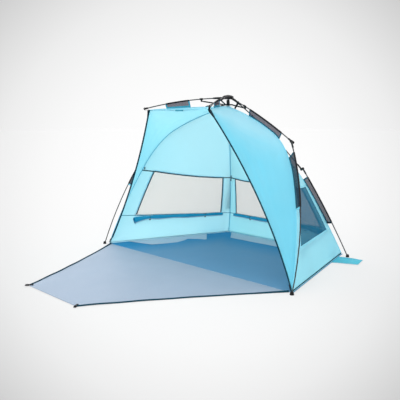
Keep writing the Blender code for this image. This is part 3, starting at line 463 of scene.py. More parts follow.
# Painted light and shade: the window netting's inner face is painted near white, as netting lit from behind, and its
# outer face dark teal, as the shaded inside seen through it.
WINDOW = netting("window netting", colour(252, 244, 234), colour(0, 100, 132), 0.62, 0.94, 520.0, sheer=0.32)
STRIP = netting("strip netting", STRIP_TONE, STRIP_TONE, 0.72, 1.0, 420.0)
DARK_STRIP = netting("dark strip netting", DARK_STRIP_TONE, DARK_STRIP_TONE, 0.80, 1.0, 420.0)
BINDING = tape("binding tape", colour(2, 54, 70))
PIPING = tape("seam tape", colour(132, 208, 226))
LOW_SEAM = tape("low seam tape", colour(60, 142, 165))
STRIP_EDGE = tape("strip edge tape", colour(30, 134, 158))
DARK_TAPE = tape("strip tape", colour(28, 84, 102))
WEBBING = tape("webbing", colour(190, 182, 190), rib=700.0, depth=0.0006)
BLACK_WEBBING = tape("black webbing", colour(28, 29, 32), rib=700.0, depth=0.0006)
THREAD = moulded("thread", colour(165, 224, 236), 0.6)
PALE_THREAD = moulded("pale thread", colour(160, 178, 196), 0.6)
ZIP = moulded("zip coil", colour(8, 40, 52), 0.45)
POLE = fibreglass("fibreglass pole", colour(26, 27, 31))
PLASTIC = moulded("black plastic", colour(16, 17, 19), 0.5)
STEEL = moulded("dark steel", colour(38, 39, 43), 0.42, grain=300.0, metallic=0.7)
RUBBER = moulded("black rubber", colour(20, 20, 21), 0.75, grain=500.0, depth=0.0003)


# Making of meshes

def place_piece(piece, body, squashed=True, replaces=None):
    """Tie a piece to the body that it moves with, give it a mesh of its own if squashed, and hide the imported node
    that it replaces.
    """
    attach(piece, body)
    if squashed:
        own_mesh(piece)
    if replaces:
        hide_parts(replaces)
    return piece


class Shape:
    """A mesh in the making, with a UV in metres for each corner of its faces."""

    def __init__(self):
        self.points = []
        self.faces = []
        self.uvs = []

    def grid(self, rows, skip=None, ring=False):
        """Add rows of points as a sheet, or as a tube where each row is a ring."""
        base = len(self.points)
        width = len(rows[0])
        middle = 0 if ring else width // 2
        down = [0.0]
        for near, far in zip(rows, rows[1:]):
            down.append(down[-1] + (far[middle] - near[middle]).length)
        across = []
        for row in rows:
            steps = [0.0]
            for index in range(width if ring else width - 1):
                steps.append(steps[-1] + (row[(index + 1) % width] - row[index]).length)
            across.append([step - steps[middle] for step in steps])
        self.points += [point for row in rows for point in row]
        for row in range(len(rows) - 1):
            for column in range(width if ring else width - 1):
                if skip is not None and skip(row, column):
                    continue
                right = (column + 1) % width
                first, second = base + row * width, base + (row + 1) * width
                self.faces.append((first + column, second + column, second + right, first + right))
                self.uvs.append(((across[row][column], down[row]), (across[row + 1][column], down[row + 1]),
                                 (across[row + 1][column + 1], down[row + 1]),
                                 (across[row][column + 1], down[row])))
        return base

    def tube(self, rings):
        """Add a closed tube through rings of points."""
        base = self.grid(rings, ring=True)
        width = len(rings[0])
        last = base + (len(rings) - 1) * width
        for corners in (tuple(range(base, base + width)), tuple(range(last + width - 1, last - 1, -1))):
            self.faces.append(corners)
            centre = sum((self.points[index] for index in corners), Vector()) / width
            self.uvs.append(tuple(((self.points[i] - centre).x, (self.points[i] - centre).z) for i in corners))

    def build(self, name, material, closed=True):
        """Return the shape as an object."""
        mesh = bpy.data.meshes.new(name)
        mesh.from_pydata([tuple(point) for point in self.points], [], self.faces)
        layer = mesh.uv_layers.new(name="surface")
        layer.data.foreach_set("uv", [value for face in self.uvs for corner in face for value in corner])
        tidy = bmesh.new()
        tidy.from_mesh(mesh)
        loose = [vertex for vertex in tidy.verts if not vertex.link_faces]
        bmesh.ops.delete(tidy, geom=loose, context="VERTS")
        if closed:
            bmesh.ops.remove_doubles(tidy, verts=tidy.verts, dist=1e-7)
            bmesh.ops.recalc_face_normals(tidy, faces=tidy.faces)
        tidy.to_mesh(mesh)
        tidy.free()
        mesh.materials.append(material)
        mesh.shade_smooth()
        if closed:
            mesh.set_sharp_from_angle(angle=math.radians(50.0))
        piece = bpy.data.objects.new(name, mesh)
        scene.collection.objects.link(piece)
        return piece

    def make(self, name, material, slot="webbing", body=ROOT, squashed=True, replaces=None):
        """Return the shape as a closed piece in its place."""
        return place_piece(self.build(name, material), body, squashed, replaces)


def sheet(name, rows, material, replaces=None, body=ROOT, skip=None, turned_over=False):
    """Make a sheet of cloth from rows of points."""
    shape = Shape()
    shape.grid(rows, skip)
    piece = shape.build(name, material, closed=False)
    if turned_over:
        piece.data.flip_normals()
    return place_piece(piece, body, replaces=replaces)


def tangents(points):
    """Return the direction of a line of points at each of them."""
    ends = [points[0]] + list(points) + [points[-1]]
    return [(after - before).normalized() for before, after in zip(ends, ends[2:])]


def follow(points, outs):
    """Return a frame for each point: its place, the direction across the line, and outwards."""
    if isinstance(outs, Vector):
        outs = [outs] * len(points)
    frames = []
    for point, run, out in zip(points, tangents(points), outs):
        across = run.cross(out).normalized()
        frames.append((point, across, across.cross(run).normalized()))
    return frames


BAND_OUTLINE = ((-0.5, 0.0), (-0.5, 0.6), (-0.42, 1.0), (0.42, 1.0), (0.5, 0.6), (0.5, 0.0))


def band(shape, frames, width, thickness, sunk=0.0):
    """Add a flat tape with rounded edges that lies on a surface or is sunk into it."""
    rings = []
    for point, across, out in frames:
        base = point - out * sunk
        rings.append([base + across * (width * side) + out * (thickness * height)
                      for side, height in BAND_OUTLINE])
    shape.tube(rings)


def tapes(name, bands, material, slot="webbing", body=ROOT):
    """Make one piece of flat tapes, each given by its frames, width, thickness and depth."""
    shape = Shape()
    for one in bands:
        band(shape, *one)
    return shape.make(name, material, slot, body)


def square_to(axis, side=None):
    """Return two directions square to an axis."""
    side = side or (SIDEWAYS if abs(axis.x) < 0.9 else UP)
    side = (side - axis * side.dot(axis)).normalized()
    return side, axis.cross(side)


def circle(centre, side, other, radius, steps):
    """Return the points of a circle, without its first point again at the end."""
    return [centre + (side * math.cos(turn) + other * math.sin(turn)) * radius
            for turn in (math.tau * step / steps for step in range(steps))]


def rod(shape, points, radius, steps=12):
    """Add a round rod through the points, with softened ends."""
    points = list(points)
    radii = radius if isinstance(radius, list) else [radius] * len(points)
    runs = tangents(points)
    soft = min(radii[0], radii[-1]) * 0.25
    points = [points[0], points[0] + runs[0] * soft] + points[1:-1] + [points[-1] - runs[-1] * soft, points[-1]]
    radii = [radii[0] - soft, radii[0]] + radii[1:-1] + [radii[-1], radii[-1] - soft]
    runs = tangents(points)
    side = UP if abs(runs[0].z) < 0.9 else SIDEWAYS
    rings = []
    for point, run, thick in zip(points, runs, radii):
        side, other = square_to(run, side)
        rings.append(circle(point, side, other, thick, steps))
    shape.tube(rings)


def turned(shape, centre, axis, profile, steps=32, hollow=False):
    """Add a lathed body, or a ring: each profile pair is a height along the axis and a radius."""
    side, other = square_to(axis)
    rings = [circle(centre + axis * height, side, other, radius, steps) for height, radius in profile]
    if hollow:
        shape.grid(rings + [rings[0]], ring=True)
    else:
        shape.tube(rings)


STITCHES = {ROOT: [], "door": []}
COILS = {ROOT: [], "door": []}


def beside(frames, offset, height):
    """Return the line that runs beside a line of frames."""
    return [point + across * offset + out * height for point, across, out in frames]


def stitch_beside(frames, offsets, height, body=ROOT):
    """Keep lines of stitches along a tape, for the stitching at the end."""
    STITCHES[body] += [beside(frames, offset, height) for offset in offsets]


# The canopy's panels

def panel(cloth, places, shares, lift=0.0):
    """Return a panel's rows of points."""
    return [[cloth.point(place, share, lift) for share in shares] for place in places]


def wall_panel(name, cloth, hole, material, replaces):
    """Make a wall with its window hole and with lines at the hole's edges."""
    top, foot = WINDOW_ROWS
    left, right = hole
    places = span(0.02, 0.78, 20) + span(0.80, 1.20, 22) + span(1.22, top, 5)
    places += span(top, foot, 24)[1:] + span(foot, 2.0, 16)[1:]
    shares = span(0.0, left, 6) + span(left, right, 32)[1:] + span(right, 1.0, 6)[1:]

    def skip(row, column):
        place = (places[row] + places[row + 1]) / 2
        share = (shares[column] + shares[column + 1]) / 2
        return top < place < foot and left < share < right

    return sheet(name, panel(cloth, places, shares), material, replaces, skip=skip)


def window_net(name, cloth, hole, replaces):
    """Make the netting sewn over a window hole on the inside."""
    margin = 0.010
    rows = span(WINDOW_ROWS[0] - margin, WINDOW_ROWS[1] + margin, 26)
    shares = span(hole[0] - margin, hole[1] + margin, 34)
    return sheet(name, panel(cloth, rows, shares, -0.0014), WINDOW, replaces, turned_over=True)


roof = sheet("roof_cloth", panel(ROOF, span(0.02, 1.0, 36), span(0.0, 1.0, 30)), ROOF_CLOTH, "roof_gore")
back = wall_panel("back_wall_cloth", BACK, BACK_WINDOW, BACK_WALL, "back_wall")
back_net = window_net("back_window_net", BACK, BACK_WINDOW, "window_mesh_back")
fronts, walls, nets = {}, {}, {}
for side in SIDES:
    rows = panel(FRONT[side], span(0.02, 1.0, 32) + span(1.02, 1.995, 44), span(0.0, 1.0, 30))
    fronts[side] = sheet("front_cloth_" + side, rows, CANOPY, "front_panel_" + side)
    walls[side] = wall_panel("side_wall_cloth_" + side, SIDE[side], SIDE_HOLES[side], WALL, "side_wall_" + side)
    nets[side] = window_net("side_window_net_" + side, SIDE[side], SIDE_HOLES[side], "window_mesh_side_" + side)


# Tapes, seams and hems of the canopy

def on_cloth(cloth, line, inside, lift=0.0005):
    """Return frames along a line of rows and shares of a panel, on its inner or outer side."""
    turn = -1.0 if inside else 1.0
    points = [cloth.point(place, share, turn * lift) for place, share in line]
    return follow(points, [cloth.out(place, share) * turn for place, share in line])


def window_tapes(name, cloth, hole):
    """Make the dark tape round a window and the seam under it inside, and the hem round it outside."""
    top, foot = WINDOW_ROWS
    left, right = hole
    step, reach = 0.0045, 0.010
    dark, hems = [], []
    for line, width in (([(top - 0.004, share) for share in span(0.0, 1.0, 40)], 0.012),
                        ([(place, left - step) for place in span(top, foot, 24)], 0.011),
                        ([(place, right + step) for place in span(top, foot, 24)], 0.011)):
        frames = on_cloth(cloth, line, True, 0.0018)
        dark.append((frames, width, 0.0013))
        stitch_beside(frames, (-width * 0.34, width * 0.34), 0.0014)
    low = on_cloth(cloth, [(foot + 0.010, share) for share in span(0.0, 1.0, 40)], True, 0.0016)
    stitch_beside(low, (0.0,), 0.0013)
    shares = span(left - reach, right + reach, 34)
    places = span(top - reach, foot + reach, 24)
    for line in ([(top - reach, share) for share in shares], [(foot + reach, share) for share in shares],
                 [(place, left - reach) for place in places], [(place, right + reach) for place in places]):
        frames = on_cloth(cloth, line, False, 0.0002)
        hems.append((frames, 0.020, 0.0009))
        stitch_beside(frames, (-0.007, 0.007), 0.0010)
    return [tapes(name + "_tape", dark, BINDING), tapes(name + "_low_seam", [(low, 0.007, 0.0012)], LOW_SEAM),
            tapes(name + "_hem", hems, HEM, "wall")]


back_trim = window_tapes("back_window", BACK, BACK_WINDOW)
side_trim = {side: window_tapes("side_window_" + side, SIDE[side], SIDE_HOLES[side]) for side in SIDES}


def seam(name, rail, first, second, side, places):
    """Make a felled seam between two panels: a raised fold outside and a bound fin inside."""
    ends = (1.0, 0.0) if side == "right" else (0.0, 1.0)
    outs = [(first.out(place, ends[0]) + second.out(place, ends[1])).normalized() for place in places]
    frames = follow([railed(rail, side)(place) for place in places], outs)
    stitch_beside(frames, (-0.004, 0.004), 0.0026)
    tapes(name + side + "_seam", [(frames, 0.013, 0.0018, -0.0006)], HEM, "canopy")
    fin = [(point - across * 0.0009 - out * 0.0035, out, across) for point, across, out in frames]
    tapes(name + side + "_fin", [(fin, 0.007, 0.0018)], PIPING)


for side in SIDES:
    seam("side_ridge_", SIDE_RIDGE, FRONT[side], SIDE[side], side, span(0.03, 1.985, 90))
    seam("rear_ridge_", REAR_RIDGE, SIDE[side], BACK, side, span(0.03, 1.985, 90))
    seam("front_ridge_", front_ridge, ROOF, FRONT[side], side, span(0.03, 0.985, 40))


def doorway_edge(side):
    """Make the dark zip tape round the doorway, the patch at its top corner and the zip's coil."""
    rail = railed(front_ridge, side)
    turn, share = (1.0, 0.0) if side == "right" else (-1.0, 1.0)

    def edge(places):
        return follow([rail(place) for place in places], [FRONT[side].out(place, share) for place in places])

    frames = edge(span(1.0, 1.992, 70))
    shape = Shape()
    band(shape, frames, 0.0115, 0.0044, 0.0020)
    rod(shape, beside(frames, 0.0, -0.0010), 0.0052)
    fin = [(point - across * 0.0015 - out * 0.0058, out, across) for point, across, out in frames[:-3]]
    band(shape, fin, 0.0115, 0.0030)
    shape.make("doorway_zip_tape_" + side, BINDING)
    patch = Shape()
    widths = (0.030, 0.030, 0.026, 0.022, 0.018, 0.016)
    patch.tube([[point + across * (width * aside) + out * (0.0060 * height - 0.0030)
                 for aside, height in BAND_OUTLINE]
                for (point, across, out), width in zip(edge(span(1.0, 1.045, 6)), widths)])
    patch.make("doorway_corner_patch_" + side, BLACK_WEBBING)
    COILS[ROOT].extend(beside(frames, offset * turn, 0.0004) for offset in (-0.0048, -0.0066))


for side in SIDES:
    doorway_edge(side)


def roof_hem():
    """Make the doubled hem along the roof's front edge."""
    line = [(0.985, share) for share in span(0.0, 1.0, 36)]
    frames = on_cloth(ROOF, line, False, -0.0008)
    stitch_beside(frames, (-0.008, 0.008), 0.0031)
    stitch_beside(on_cloth(ROOF, line, True, 0.0001), (-0.008, 0.008), 0.0013)
    return tapes("roof_front_hem", [(frames, 0.024, 0.0030)], HEM, "canopy")


hem_piece = roof_hem()
for name, cloth in (("back_wall", BACK), ("side_wall_right", SIDE["right"]), ("side_wall_left", SIDE["left"])):
    start, _, end = name.partition("wall")
    foot_line = on_cloth(cloth, [(1.990, share) for share in span(0.0, 1.0, 40)], False, 0.0003)
    tapes(start + "wall_foot_tape" + end, [(foot_line, 0.010, 0.0020)], BINDING)


# The rolled window covers

def window_roll(name, replaces, cloth, hole, drooping_last):
    """Make a window cover rolled up under its window: one sheet, wound seven times."""
    turns, steps, columns = 7, 16, 44
    tie_places = (0.16, 0.80)
    metres_per_row = 1.125
    core = 0.0030
    low, high = WINDOW_ROWS[1] + 0.015 / metres_per_row, 2.0
    axis, sizes = [], []
    for index in range(columns):
        share = index / (columns - 1)
        far = 1.0 - share if drooping_last else share
        across = hole[0] - 0.016 + (hole[1] - hole[0] + 0.032) * share
        droop = max(1.0 - far / 0.13, 0.0) ** 1.5
        thick = 1.40 - 0.42 * far + 0.60 * droop
        pinch = 1.0 - 0.26 * math.exp(-(min(abs(far - tie) for tie in tie_places) / 0.035) ** 2)
        wavy = 0.22 * noise.noise(Vector((share * 6.0, 2.0, 5.0)))
        hang = 0.0155 * thick + 0.004 + 0.008 * (1.0 - far) + 0.012 * droop
        place = WINDOW_ROWS[1] + hang / metres_per_row
        seat = cloth.point(low, across).lerp(cloth.point(high, across), (place - low) / (high - low))
        axis.append(seat - cloth.hint(place) * (0.0188 * thick + 0.0002))
        sizes.append(0.0172 * thick * pinch * (1.0 + wavy))
    runs = tangents(axis)
    rows = []
    for centre, run, radius in zip(axis, runs, sizes):
        side, other = square_to(run, UP)
        row = []
        for step in range(turns * steps + 1):
            turn = math.tau * step / steps
            wave = 1.0 + 0.05 * noise.noise(centre * 9.0 + side * math.cos(turn) + other * math.sin(turn))
            reach = (core + (radius - core) * step / (turns * steps)) * wave
            row.append(centre + (side * math.cos(turn) * 1.08 + other * math.sin(turn)) * reach)
        rows.append(row)
    piece = sheet(name, rows, ROLL, replaces)
    fixings, toggles = Shape(), Shape()
    for share in tie_places:
        far = 1.0 - share if drooping_last else share
        index = round(far * (columns - 1))
        centre, run, radius = axis[index], runs[index], sizes[index]
        side, other = square_to(run, UP)
        loop = circle(centre, side * 1.08, other, radius * 1.06 + 0.0012, 24)
        rod(fixings, loop + loop[:1], 0.0014, 8)
        toggle = centre - side * (radius * 1.08 + 0.0045)
        rod(toggles, [toggle - run * 0.011, toggle, toggle + run * 0.011], 0.0036, 10)
    return piece, fixings.make(name + "_loops", BLACK_WEBBING), toggles.make(name + "_toggles", PLASTIC, "plastic")


rolls = {"back": window_roll("back_window_cover", "window_roll_back", BACK, BACK_WINDOW, False)}
for side in SIDES:
    rolls[side] = window_roll("side_window_cover_" + side, "window_roll_side_" + side, SIDE[side],
                              SIDE_HOLES[side], side == "left")


# The netting strips that hang the canopy from the poles: pole, seam, where on each, netting,
# tape, the foot tape's share and width, and what finishes the low end

STRIPS = {
    "front_arm": (FRONT_ARM, front_ridge, (0.445, 0.735), (0.485, 0.77), STRIP, STRIP_EDGE, 0.18, 0.015, None),
    "side_arm": (SIDE_ARM, SIDE_RIDGE, (0.33, 0.83), (0.37, 0.86), STRIP, DARK_TAPE, 0.13, 0.014, None),
    "side_leg": (SIDE_LEG, SIDE_RIDGE, (0.08, 0.46), (1.08, 1.46), DARK_STRIP, DARK_TAPE, 0.13, 0.014, HEM),
    "rear_leg": (REAR_LEG, REAR_RIDGE, (0.10, 0.62), (1.182, 1.675), STRIP, DARK_TAPE, 0.13, 0.014,
                 BLACK_WEBBING),
}


def hanging_strip(kind, side):
    """Make one strip: netting, a sleeve round the pole, and tapes at its foot and ends."""
    pole, rail, shares, places, weave, edging, raised, wide, finish = STRIPS[kind]
    name = "strip_" + kind + "_" + side
    columns = 30
    rows = []
    for index in range(columns):
        share = index / (columns - 1)
        top = pole.point(shares[0] + (shares[1] - shares[0]) * share)
        foot = rail(places[0] + (places[1] - places[0]) * share)
        down = (foot - top).normalized()
        first = top + down * (POLE_RADIUS + 0.0012)
        last = foot - down * 0.0012
        rows.append([sided(first.lerp(last, step), side) for step in span(0.0, 1.0, 7)])
    net = sheet(name + "_net", rows, weave, name)
    run = (rows[-1][0] - rows[0][0]).normalized()
    face = run.cross(rows[columns // 2][-1] - rows[columns // 2][0]).normalized()
    foot_frames = follow([row[-1].lerp(row[0], raised) for row in rows], face)
    stitch_beside(foot_frames, (0.0,), 0.0014)
    edge = tapes(name + "_tapes", [(follow(rows[0], face), 0.014, 0.0020, 0.0010),
                                   (follow(rows[-1], face), 0.014, 0.0020, 0.0010),
                                   (foot_frames, wide, 0.0024, 0.0012)], edging)
    if finish:
        line = [point + (rows[-1][0] - rows[-2][0]).normalized() * 0.004 for point in rows[-1]]
        tapes(name + "_low_end", [(follow(line, face), 0.016, 0.0032, 0.0016)], finish)
    count = 60
    points = [sided(pole.point(shares[0] + (shares[1] - shares[0]) * step / (count - 1)), side)
              for step in range(count)]
    sleeve = Shape()
    rod(sleeve, points, [0.0071 + 0.0004 * math.sin(step * 1.9) for step in range(count)])
    return net, edge, sleeve.make(name + "_sleeve", BLACK_WEBBING)


strips = {(kind, side): hanging_strip(kind, side) for kind in STRIPS for side in SIDES}


# The groundsheet, its flaps and the door panel

def ground_height(out, back, reach):
    """Return the height of the creases in cloth that lies on the ground."""
    place = Vector((out, back, 0.0))
    rise = 0.5 + 0.5 * noise.noise(place * 2.3)
    rise += 0.35 * noise.noise(place * 6.0 + Vector((4.0, 1.0, 0.0)))
    return max(rise, 0.0) * reach


def make_floor():
    """Make the groundsheet."""
    last, lift, flat_edge = FLOOR_BACK + FLOOR_MARGIN, 0.0022, 0.12
    rows = []
    for behind in span(FLOOR_FRONT, last, 40):
        share = (behind - FLOOR_FRONT) / (FLOOR_BACK - FLOOR_FRONT)
        half = FRONT_HALF + (BACK_HALF - FRONT_HALF) * min(share, 1.0) + FLOOR_MARGIN
        row = []
        for out in span(half, -half, 60):
            inside = min(half - abs(out), behind - FLOOR_FRONT, last - behind, flat_edge) / flat_edge
            rise = ground_height(out, behind, FLOOR_CREASE) * max(inside, 0.0)
            row.append(Vector((out, behind, lift + rise)))
        rows.append(row)
    return sheet("floor_cloth", rows, FLOOR, "floor")


floor_piece = make_floor()
EDGE_FRONT = Vector((FRONT_CORNER.x, FRONT_CORNER.y, 0.0))
EDGE_REAR = Vector((BACK_CORNER.x, BACK_CORNER.y, 0.0))
EDGE_RUN = EDGE_REAR - EDGE_FRONT
EDGE_OUT = Vector((EDGE_RUN.y, -EDGE_RUN.x, 0.0)).normalized()


def sand_flap(side):
    """Make the flap at a back corner, which sand or stones hold down."""
    start, end = EDGE_FRONT.lerp(EDGE_REAR, 0.735), EDGE_FRONT.lerp(EDGE_REAR, 0.905)
    middle = (start + end) / 2
    root, length, far_width = 0.006, 0.234, 0.78
    rows = []
    for reach in span(0.0, 1.0, 18):
        narrow = 1.0 - (1.0 - far_width) * reach
        away = EDGE_OUT * (root + length * reach)
        low, high = middle.lerp(start, narrow) + away, middle.lerp(end, narrow) + away
        row = []
        for share in span(0.0, 1.0, 18):
            point = low.lerp(high, share)
            point.z = 0.0024 + 0.005 * (0.5 + 0.5 * noise.noise(point * 14.0)) * min(reach * 4.0, 1.0)
            row.append(sided(point, side))
        rows.append(row)
    piece = sheet("sand_flap_" + side, rows, FLAP, turned_over=side == "right")
    bands = []
    for line in ([row[0] for row in rows], [row[-1] for row in rows], rows[-1]):
        frames = follow(line, UP)
        bands.append((frames, 0.008, 0.0018, 0.0004))
        stitch_beside(frames, (0.0,), 0.0016)
    return piece, tapes("sand_flap_hem_" + side, bands, FLAP, "wall")


flaps = {side: sand_flap(side) for side in SIDES}


def on_floor(point):
    """Return a point laid on the creased groundsheet."""
    return Vector((point.x, point.y, 0.0042 + ground_height(point.x, point.y, FLOOR_CREASE)))


def window_light_patch(side, first):
    """Make a paler sheet on the floor along a side wall, from a share of the wall's length: a painted patch of the
    light that comes in through the window.
    """
    last, slant, inset = 0.795, 0.09, 0.018
    rows = []
    for step in span(0.0, 1.0, 40):
        depth = 0.02 + 0.24 * min(step / 0.20, 1.0)
        row = []
        for reach in span(0.0, 1.0, 6):
            edge = EDGE_FRONT.lerp(EDGE_REAR, first + (last - slant * reach - first) * step)
            row.append(sided(on_floor(edge - EDGE_OUT * (inset + depth * reach)), side))
        rows.append(row)
    return sheet("painted_window_light_" + side, rows, WINDOW_LIGHT, turned_over=side == "left")


# Painted light: pale sheets on the floor along the walls, for the light that comes in through the windows.
window_light_patches = [window_light_patch("right", 0.40), window_light_patch("left", 0.15)]
window_light_patches.append(sheet("painted_window_light_back",
                     [[on_floor(Vector((share * (0.70 - 0.19 * reach), 0.812 - 0.22 * reach, 0.0)))
                       for reach in span(0.0, 1.0, 6)] for share in span(-1.0, 1.0, 40)], WINDOW_LIGHT))


def door_point(share, across):
    """Return a point of the door panel as it lies on the ground."""
    half = SILL_HALF + (DOOR_END_HALF - SILL_HALF) * share - DOOR_SIDE_BOW * 4.0 * share * (1.0 - share)
    out = half * across
    behind = DOOR_START - DOOR_LENGTH * share
    lift, flat_edge = 0.0026, 0.10
    inside = min((1.0 - abs(across)) * half, share * 1.37, (1.0 - share) * 1.37, flat_edge) / flat_edge
    ripple = 0.0016 * (1.0 + math.sin(behind * 21.0 + 1.3 * across)) * (1.0 if abs(across) > 0.9 else 0.4)
    height = lift + ground_height(out, behind, DOOR_CREASE) * max(inside, 0.0) + ripple * share
    return Vector((out, behind, height))


def make_door():
    """Make the door panel, its bound edges, its zip and its peg loops."""
    rows = [[door_point(share, across) for across in span(1.0, -1.0, 64)] for share in span(1.0, 0.0, 60)]
    door = sheet("door_cloth", rows, DOOR, "door_panel", "door")
    trims = []
    for side, across in (("right", 1.0), ("left", -1.0)):
        frames = follow([door_point(share, across) for share in span(0.0, 0.995, 60)], UP)
        edge = Shape()
        band(edge, frames, 0.013, 0.0036, 0.0014)
        radii = [0.0050 + 0.0026 * max(1.0 - 6.0 * index / len(frames), 0.0) for index in range(len(frames))]
        rod(edge, [point + out * (radius - 0.0016) for (point, _, out), radius in zip(frames, radii)], radii)
        trims.append(edge.make("door_zip_tape_" + side, BINDING, body="door"))
        stitch_beside(frames, (-0.003, 0.003), 0.0023, "door")
        COILS["door"].extend(beside(frames, offset * across, 0.0008) for offset in (0.0058, 0.0078))
    frames = follow([door_point(0.992, across) for across in span(1.0, -1.0, 50)], UP)
    stitch_beside(frames, (-0.005, 0.005), 0.0017, "door")
    trims.append(tapes("door_end_hem", [(frames, 0.018, 0.0020, 0.0006)], DOOR, "door", "door"))
    loops = []
    for across in (1.0, -1.0):
        corner = door_point(1.0, across)
        out = Vector((0.62 * across, -0.78, 0.0)).normalized()
        line = [corner + out * reach + UP * height
                for reach, height in ((-0.035, 0.0040), (0.0, 0.0060), (0.012, 0.0075), (0.024, 0.0065),
                                      (0.0295, 0.0035), (0.024, 0.0015), (0.0, 0.0010))]
        outs = [UP, UP, UP, (UP + out).normalized(), out, (out - UP).normalized(), -UP]
        loops.append((follow(line, outs), 0.018, 0.0028))
    trims.append(tapes("door_peg_loops", loops, BLACK_WEBBING, body="door"))
    return door, trims


door_piece, door_trims = make_door()


# The apex, the ties and the moulded parts of the frame

tab_points = [ROOF.point(1.0, share) + Vector((0.0, -0.0012, -0.0052)) for share in span(0.455, 0.585, 14)]
tab = tapes("roof_hem_tab", [(follow(tab_points, FORWARD), 0.013, 0.0016)], LOW_SEAM)


def zip_slider(side):
    """Make a zip slider with its pull, parked at the foot of the doorway's edge."""
    rail = railed(front_ridge, side)
    middle = rail(1.966) + FORWARD * 0.0068
    run = (rail(1.95) - rail(1.98)).normalized()
    out = (FORWARD - run * FORWARD.dot(run)).normalized()
    across = run.cross(out)
    shape = Shape()
    for lift, width, depth in ((0.0, 0.0105, 0.0022), (0.0034, 0.0085, 0.0018)):
        rings = []
        for reach, share in ((-0.010, 0.55), (-0.0085, 0.78), (-0.004, 0.94), (0.004, 1.0), (0.0085, 0.88),
                             (0.010, 0.60)):
            point = middle + run * reach + out * lift
            rings.append([point + across * (width * share * aside) + out * (depth * height)
                          for aside, height in BAND_OUTLINE])
        shape.tube(rings)
    rod(shape, [middle + out * 0.001, middle + out * 0.0040], 0.0020, 10)
    eye = middle - run * 0.004 + out * 0.0052
    pull = [eye, eye - run * 0.006 + out * 0.001, eye - run * 0.030 + out * 0.001, eye - run * 0.034]
    band(shape, follow(pull, out), 0.006, 0.0012)
    shape.make("zip_slider_" + side + "_body", STEEL, "steel", replaces="zip_slider_" + side)


for side in SIDES:
    zip_slider(side)


def apex_patch():
    """Make the round patch that doubles the cloth at the canopy's top."""
    radius = 0.046

    def dome(reach, turn, lift, wave=0.0):
        fall = 0.0030 * (reach / radius) ** 2 + wave * math.sin(turn * 6.0) * reach / radius
        return APEX + Vector((math.cos(turn) * reach, math.sin(turn) * reach, lift - fall))

    turns = [math.tau * step / 48 for step in range(49)]
    rows = [[dome(reach, -turn, 0.0052, 0.0006) for turn in turns] for reach in span(0.0, radius, 8)]
    STITCHES[ROOT] += [[dome(reach, turn, 0.0056) for turn in turns] for reach in (0.030, 0.040)]
    return sheet("apex_patch_cloth", rows, HEM, "apex_patch")


def apex_strap():
    """Make the strap from the apex patch up to the hub, with the tabs sewn down at its foot."""
    low, high = APEX.z + 0.0055, HUB_TOP.z - 0.0115
    shape = Shape()
    band(shape, follow([UP * height for height in span(low, high, 14)], FORWARD), 0.016, 0.0020, 0.001)
    for turn in (-1.0, 1.0):
        foot = [Vector((0.0, turn * reach, low + 0.0004)) for reach in span(0.001, 0.024, 6)]
        band(shape, follow(foot, UP), 0.016, 0.0016)
    shape.make("apex_strap_webbing", WEBBING, replaces="apex_strap")


patch_piece = apex_patch()
apex_strap()


def canopy_tie(side):
    """Make a webbing tie that hangs the canopy from a side arm near the hub."""
    top = SIDE_ARM.point(0.135)
    foot = SIDE_RIDGE(0.115)
    down = (foot - top).normalized()
    run = (SIDE_ARM.point(0.155) - top).normalized()
    face = run.cross(down).normalized()
    line = [foot + UP * 0.002 + run * 0.012, foot + UP * 0.0035, foot - down * 0.008 + face * 0.0012,
            top + down * 0.012 + face * 0.003, top + face * 0.0072, top - down * 0.0072,
            top - face * 0.0072, top + down * 0.012 - face * 0.003, foot - down * 0.012 - face * 0.0012]
    outs = [UP, (UP + face).normalized(), face, face, face, -down, -face, -face, -face]
    frames = follow([sided(point, side) for point in line], [sided(out, side) for out in outs])
    tapes("tie_side_arm_" + side, [(frames, 0.018, 0.0018)], BLACK_WEBBING)


def corner_loop(side):
    """Make the webbing loop that holds a doorway corner to the front arm's end cap."""
    start, end = sided(DOORWAY_TOP, side), sided(CAP_POINT, side)
    run = (end - start).normalized()
    up = run.cross(UP).normalized().cross(run).normalized()
    line = [start - run * 0.030 + up * 0.004, start + up * 0.004, end - run * 0.012 + up * 0.0105,
            end + run * 0.004 + up * 0.0105, end + run * 0.0125, end + run * 0.002 - up * 0.0105,
            end - run * 0.014 - up * 0.010, start - up * 0.0045]
    outs = [up, up, up, (up + run).normalized(), run, -up, -up, -up]
    tapes("corner_loop_" + side, [(follow(line, outs), 0.013, 0.0016)], BLACK_WEBBING)


def small_loop(name, cloth, place, share, length):
    """Make a small hanging loop of tape on the inside of a wall."""
    out = cloth.out(place, share)
    top = cloth.point(place, share, -0.004)
    line = [top - out * depth + UP * height
            for depth, height in ((0.001, 0.008), (0.003, 0.0), (0.006, -length * 0.5), (0.007, -length),
                                  (0.004, -length - 0.003), (0.003, -length * 0.6), (0.0015, 0.0))]
    outs = [-out, -out, -out, (-out - UP).normalized(), -UP, out, out]
    tapes(name, [(follow(line, outs), 0.010, 0.0010)], BLACK_WEBBING)


for make_loop in (canopy_tie, corner_loop):
    for side in SIDES:
        make_loop(side)
small_loop("hanging_loop_left", SIDE["left"], 1.27, 0.985, 0.014)
small_loop("hanging_loop_right", SIDE["right"], 1.27, 0.015, 0.014)
small_loop("corner_loop_rear_left", BACK, 1.25, 0.985, 0.05)
small_loop("corner_loop_rear_right", BACK, 1.25, 0.015, 0.05)


def ribs(first, pitch, count, low, high, run):
    """Return the profile of a row of ribs: each rises over a millimetre and falls over another."""
    profile = []
    for index in range(count):
        base = first + index * pitch
        profile += [(base, low), (base + 0.001, high), (base + run, high), (base + run + 0.001, low)]
    return profile


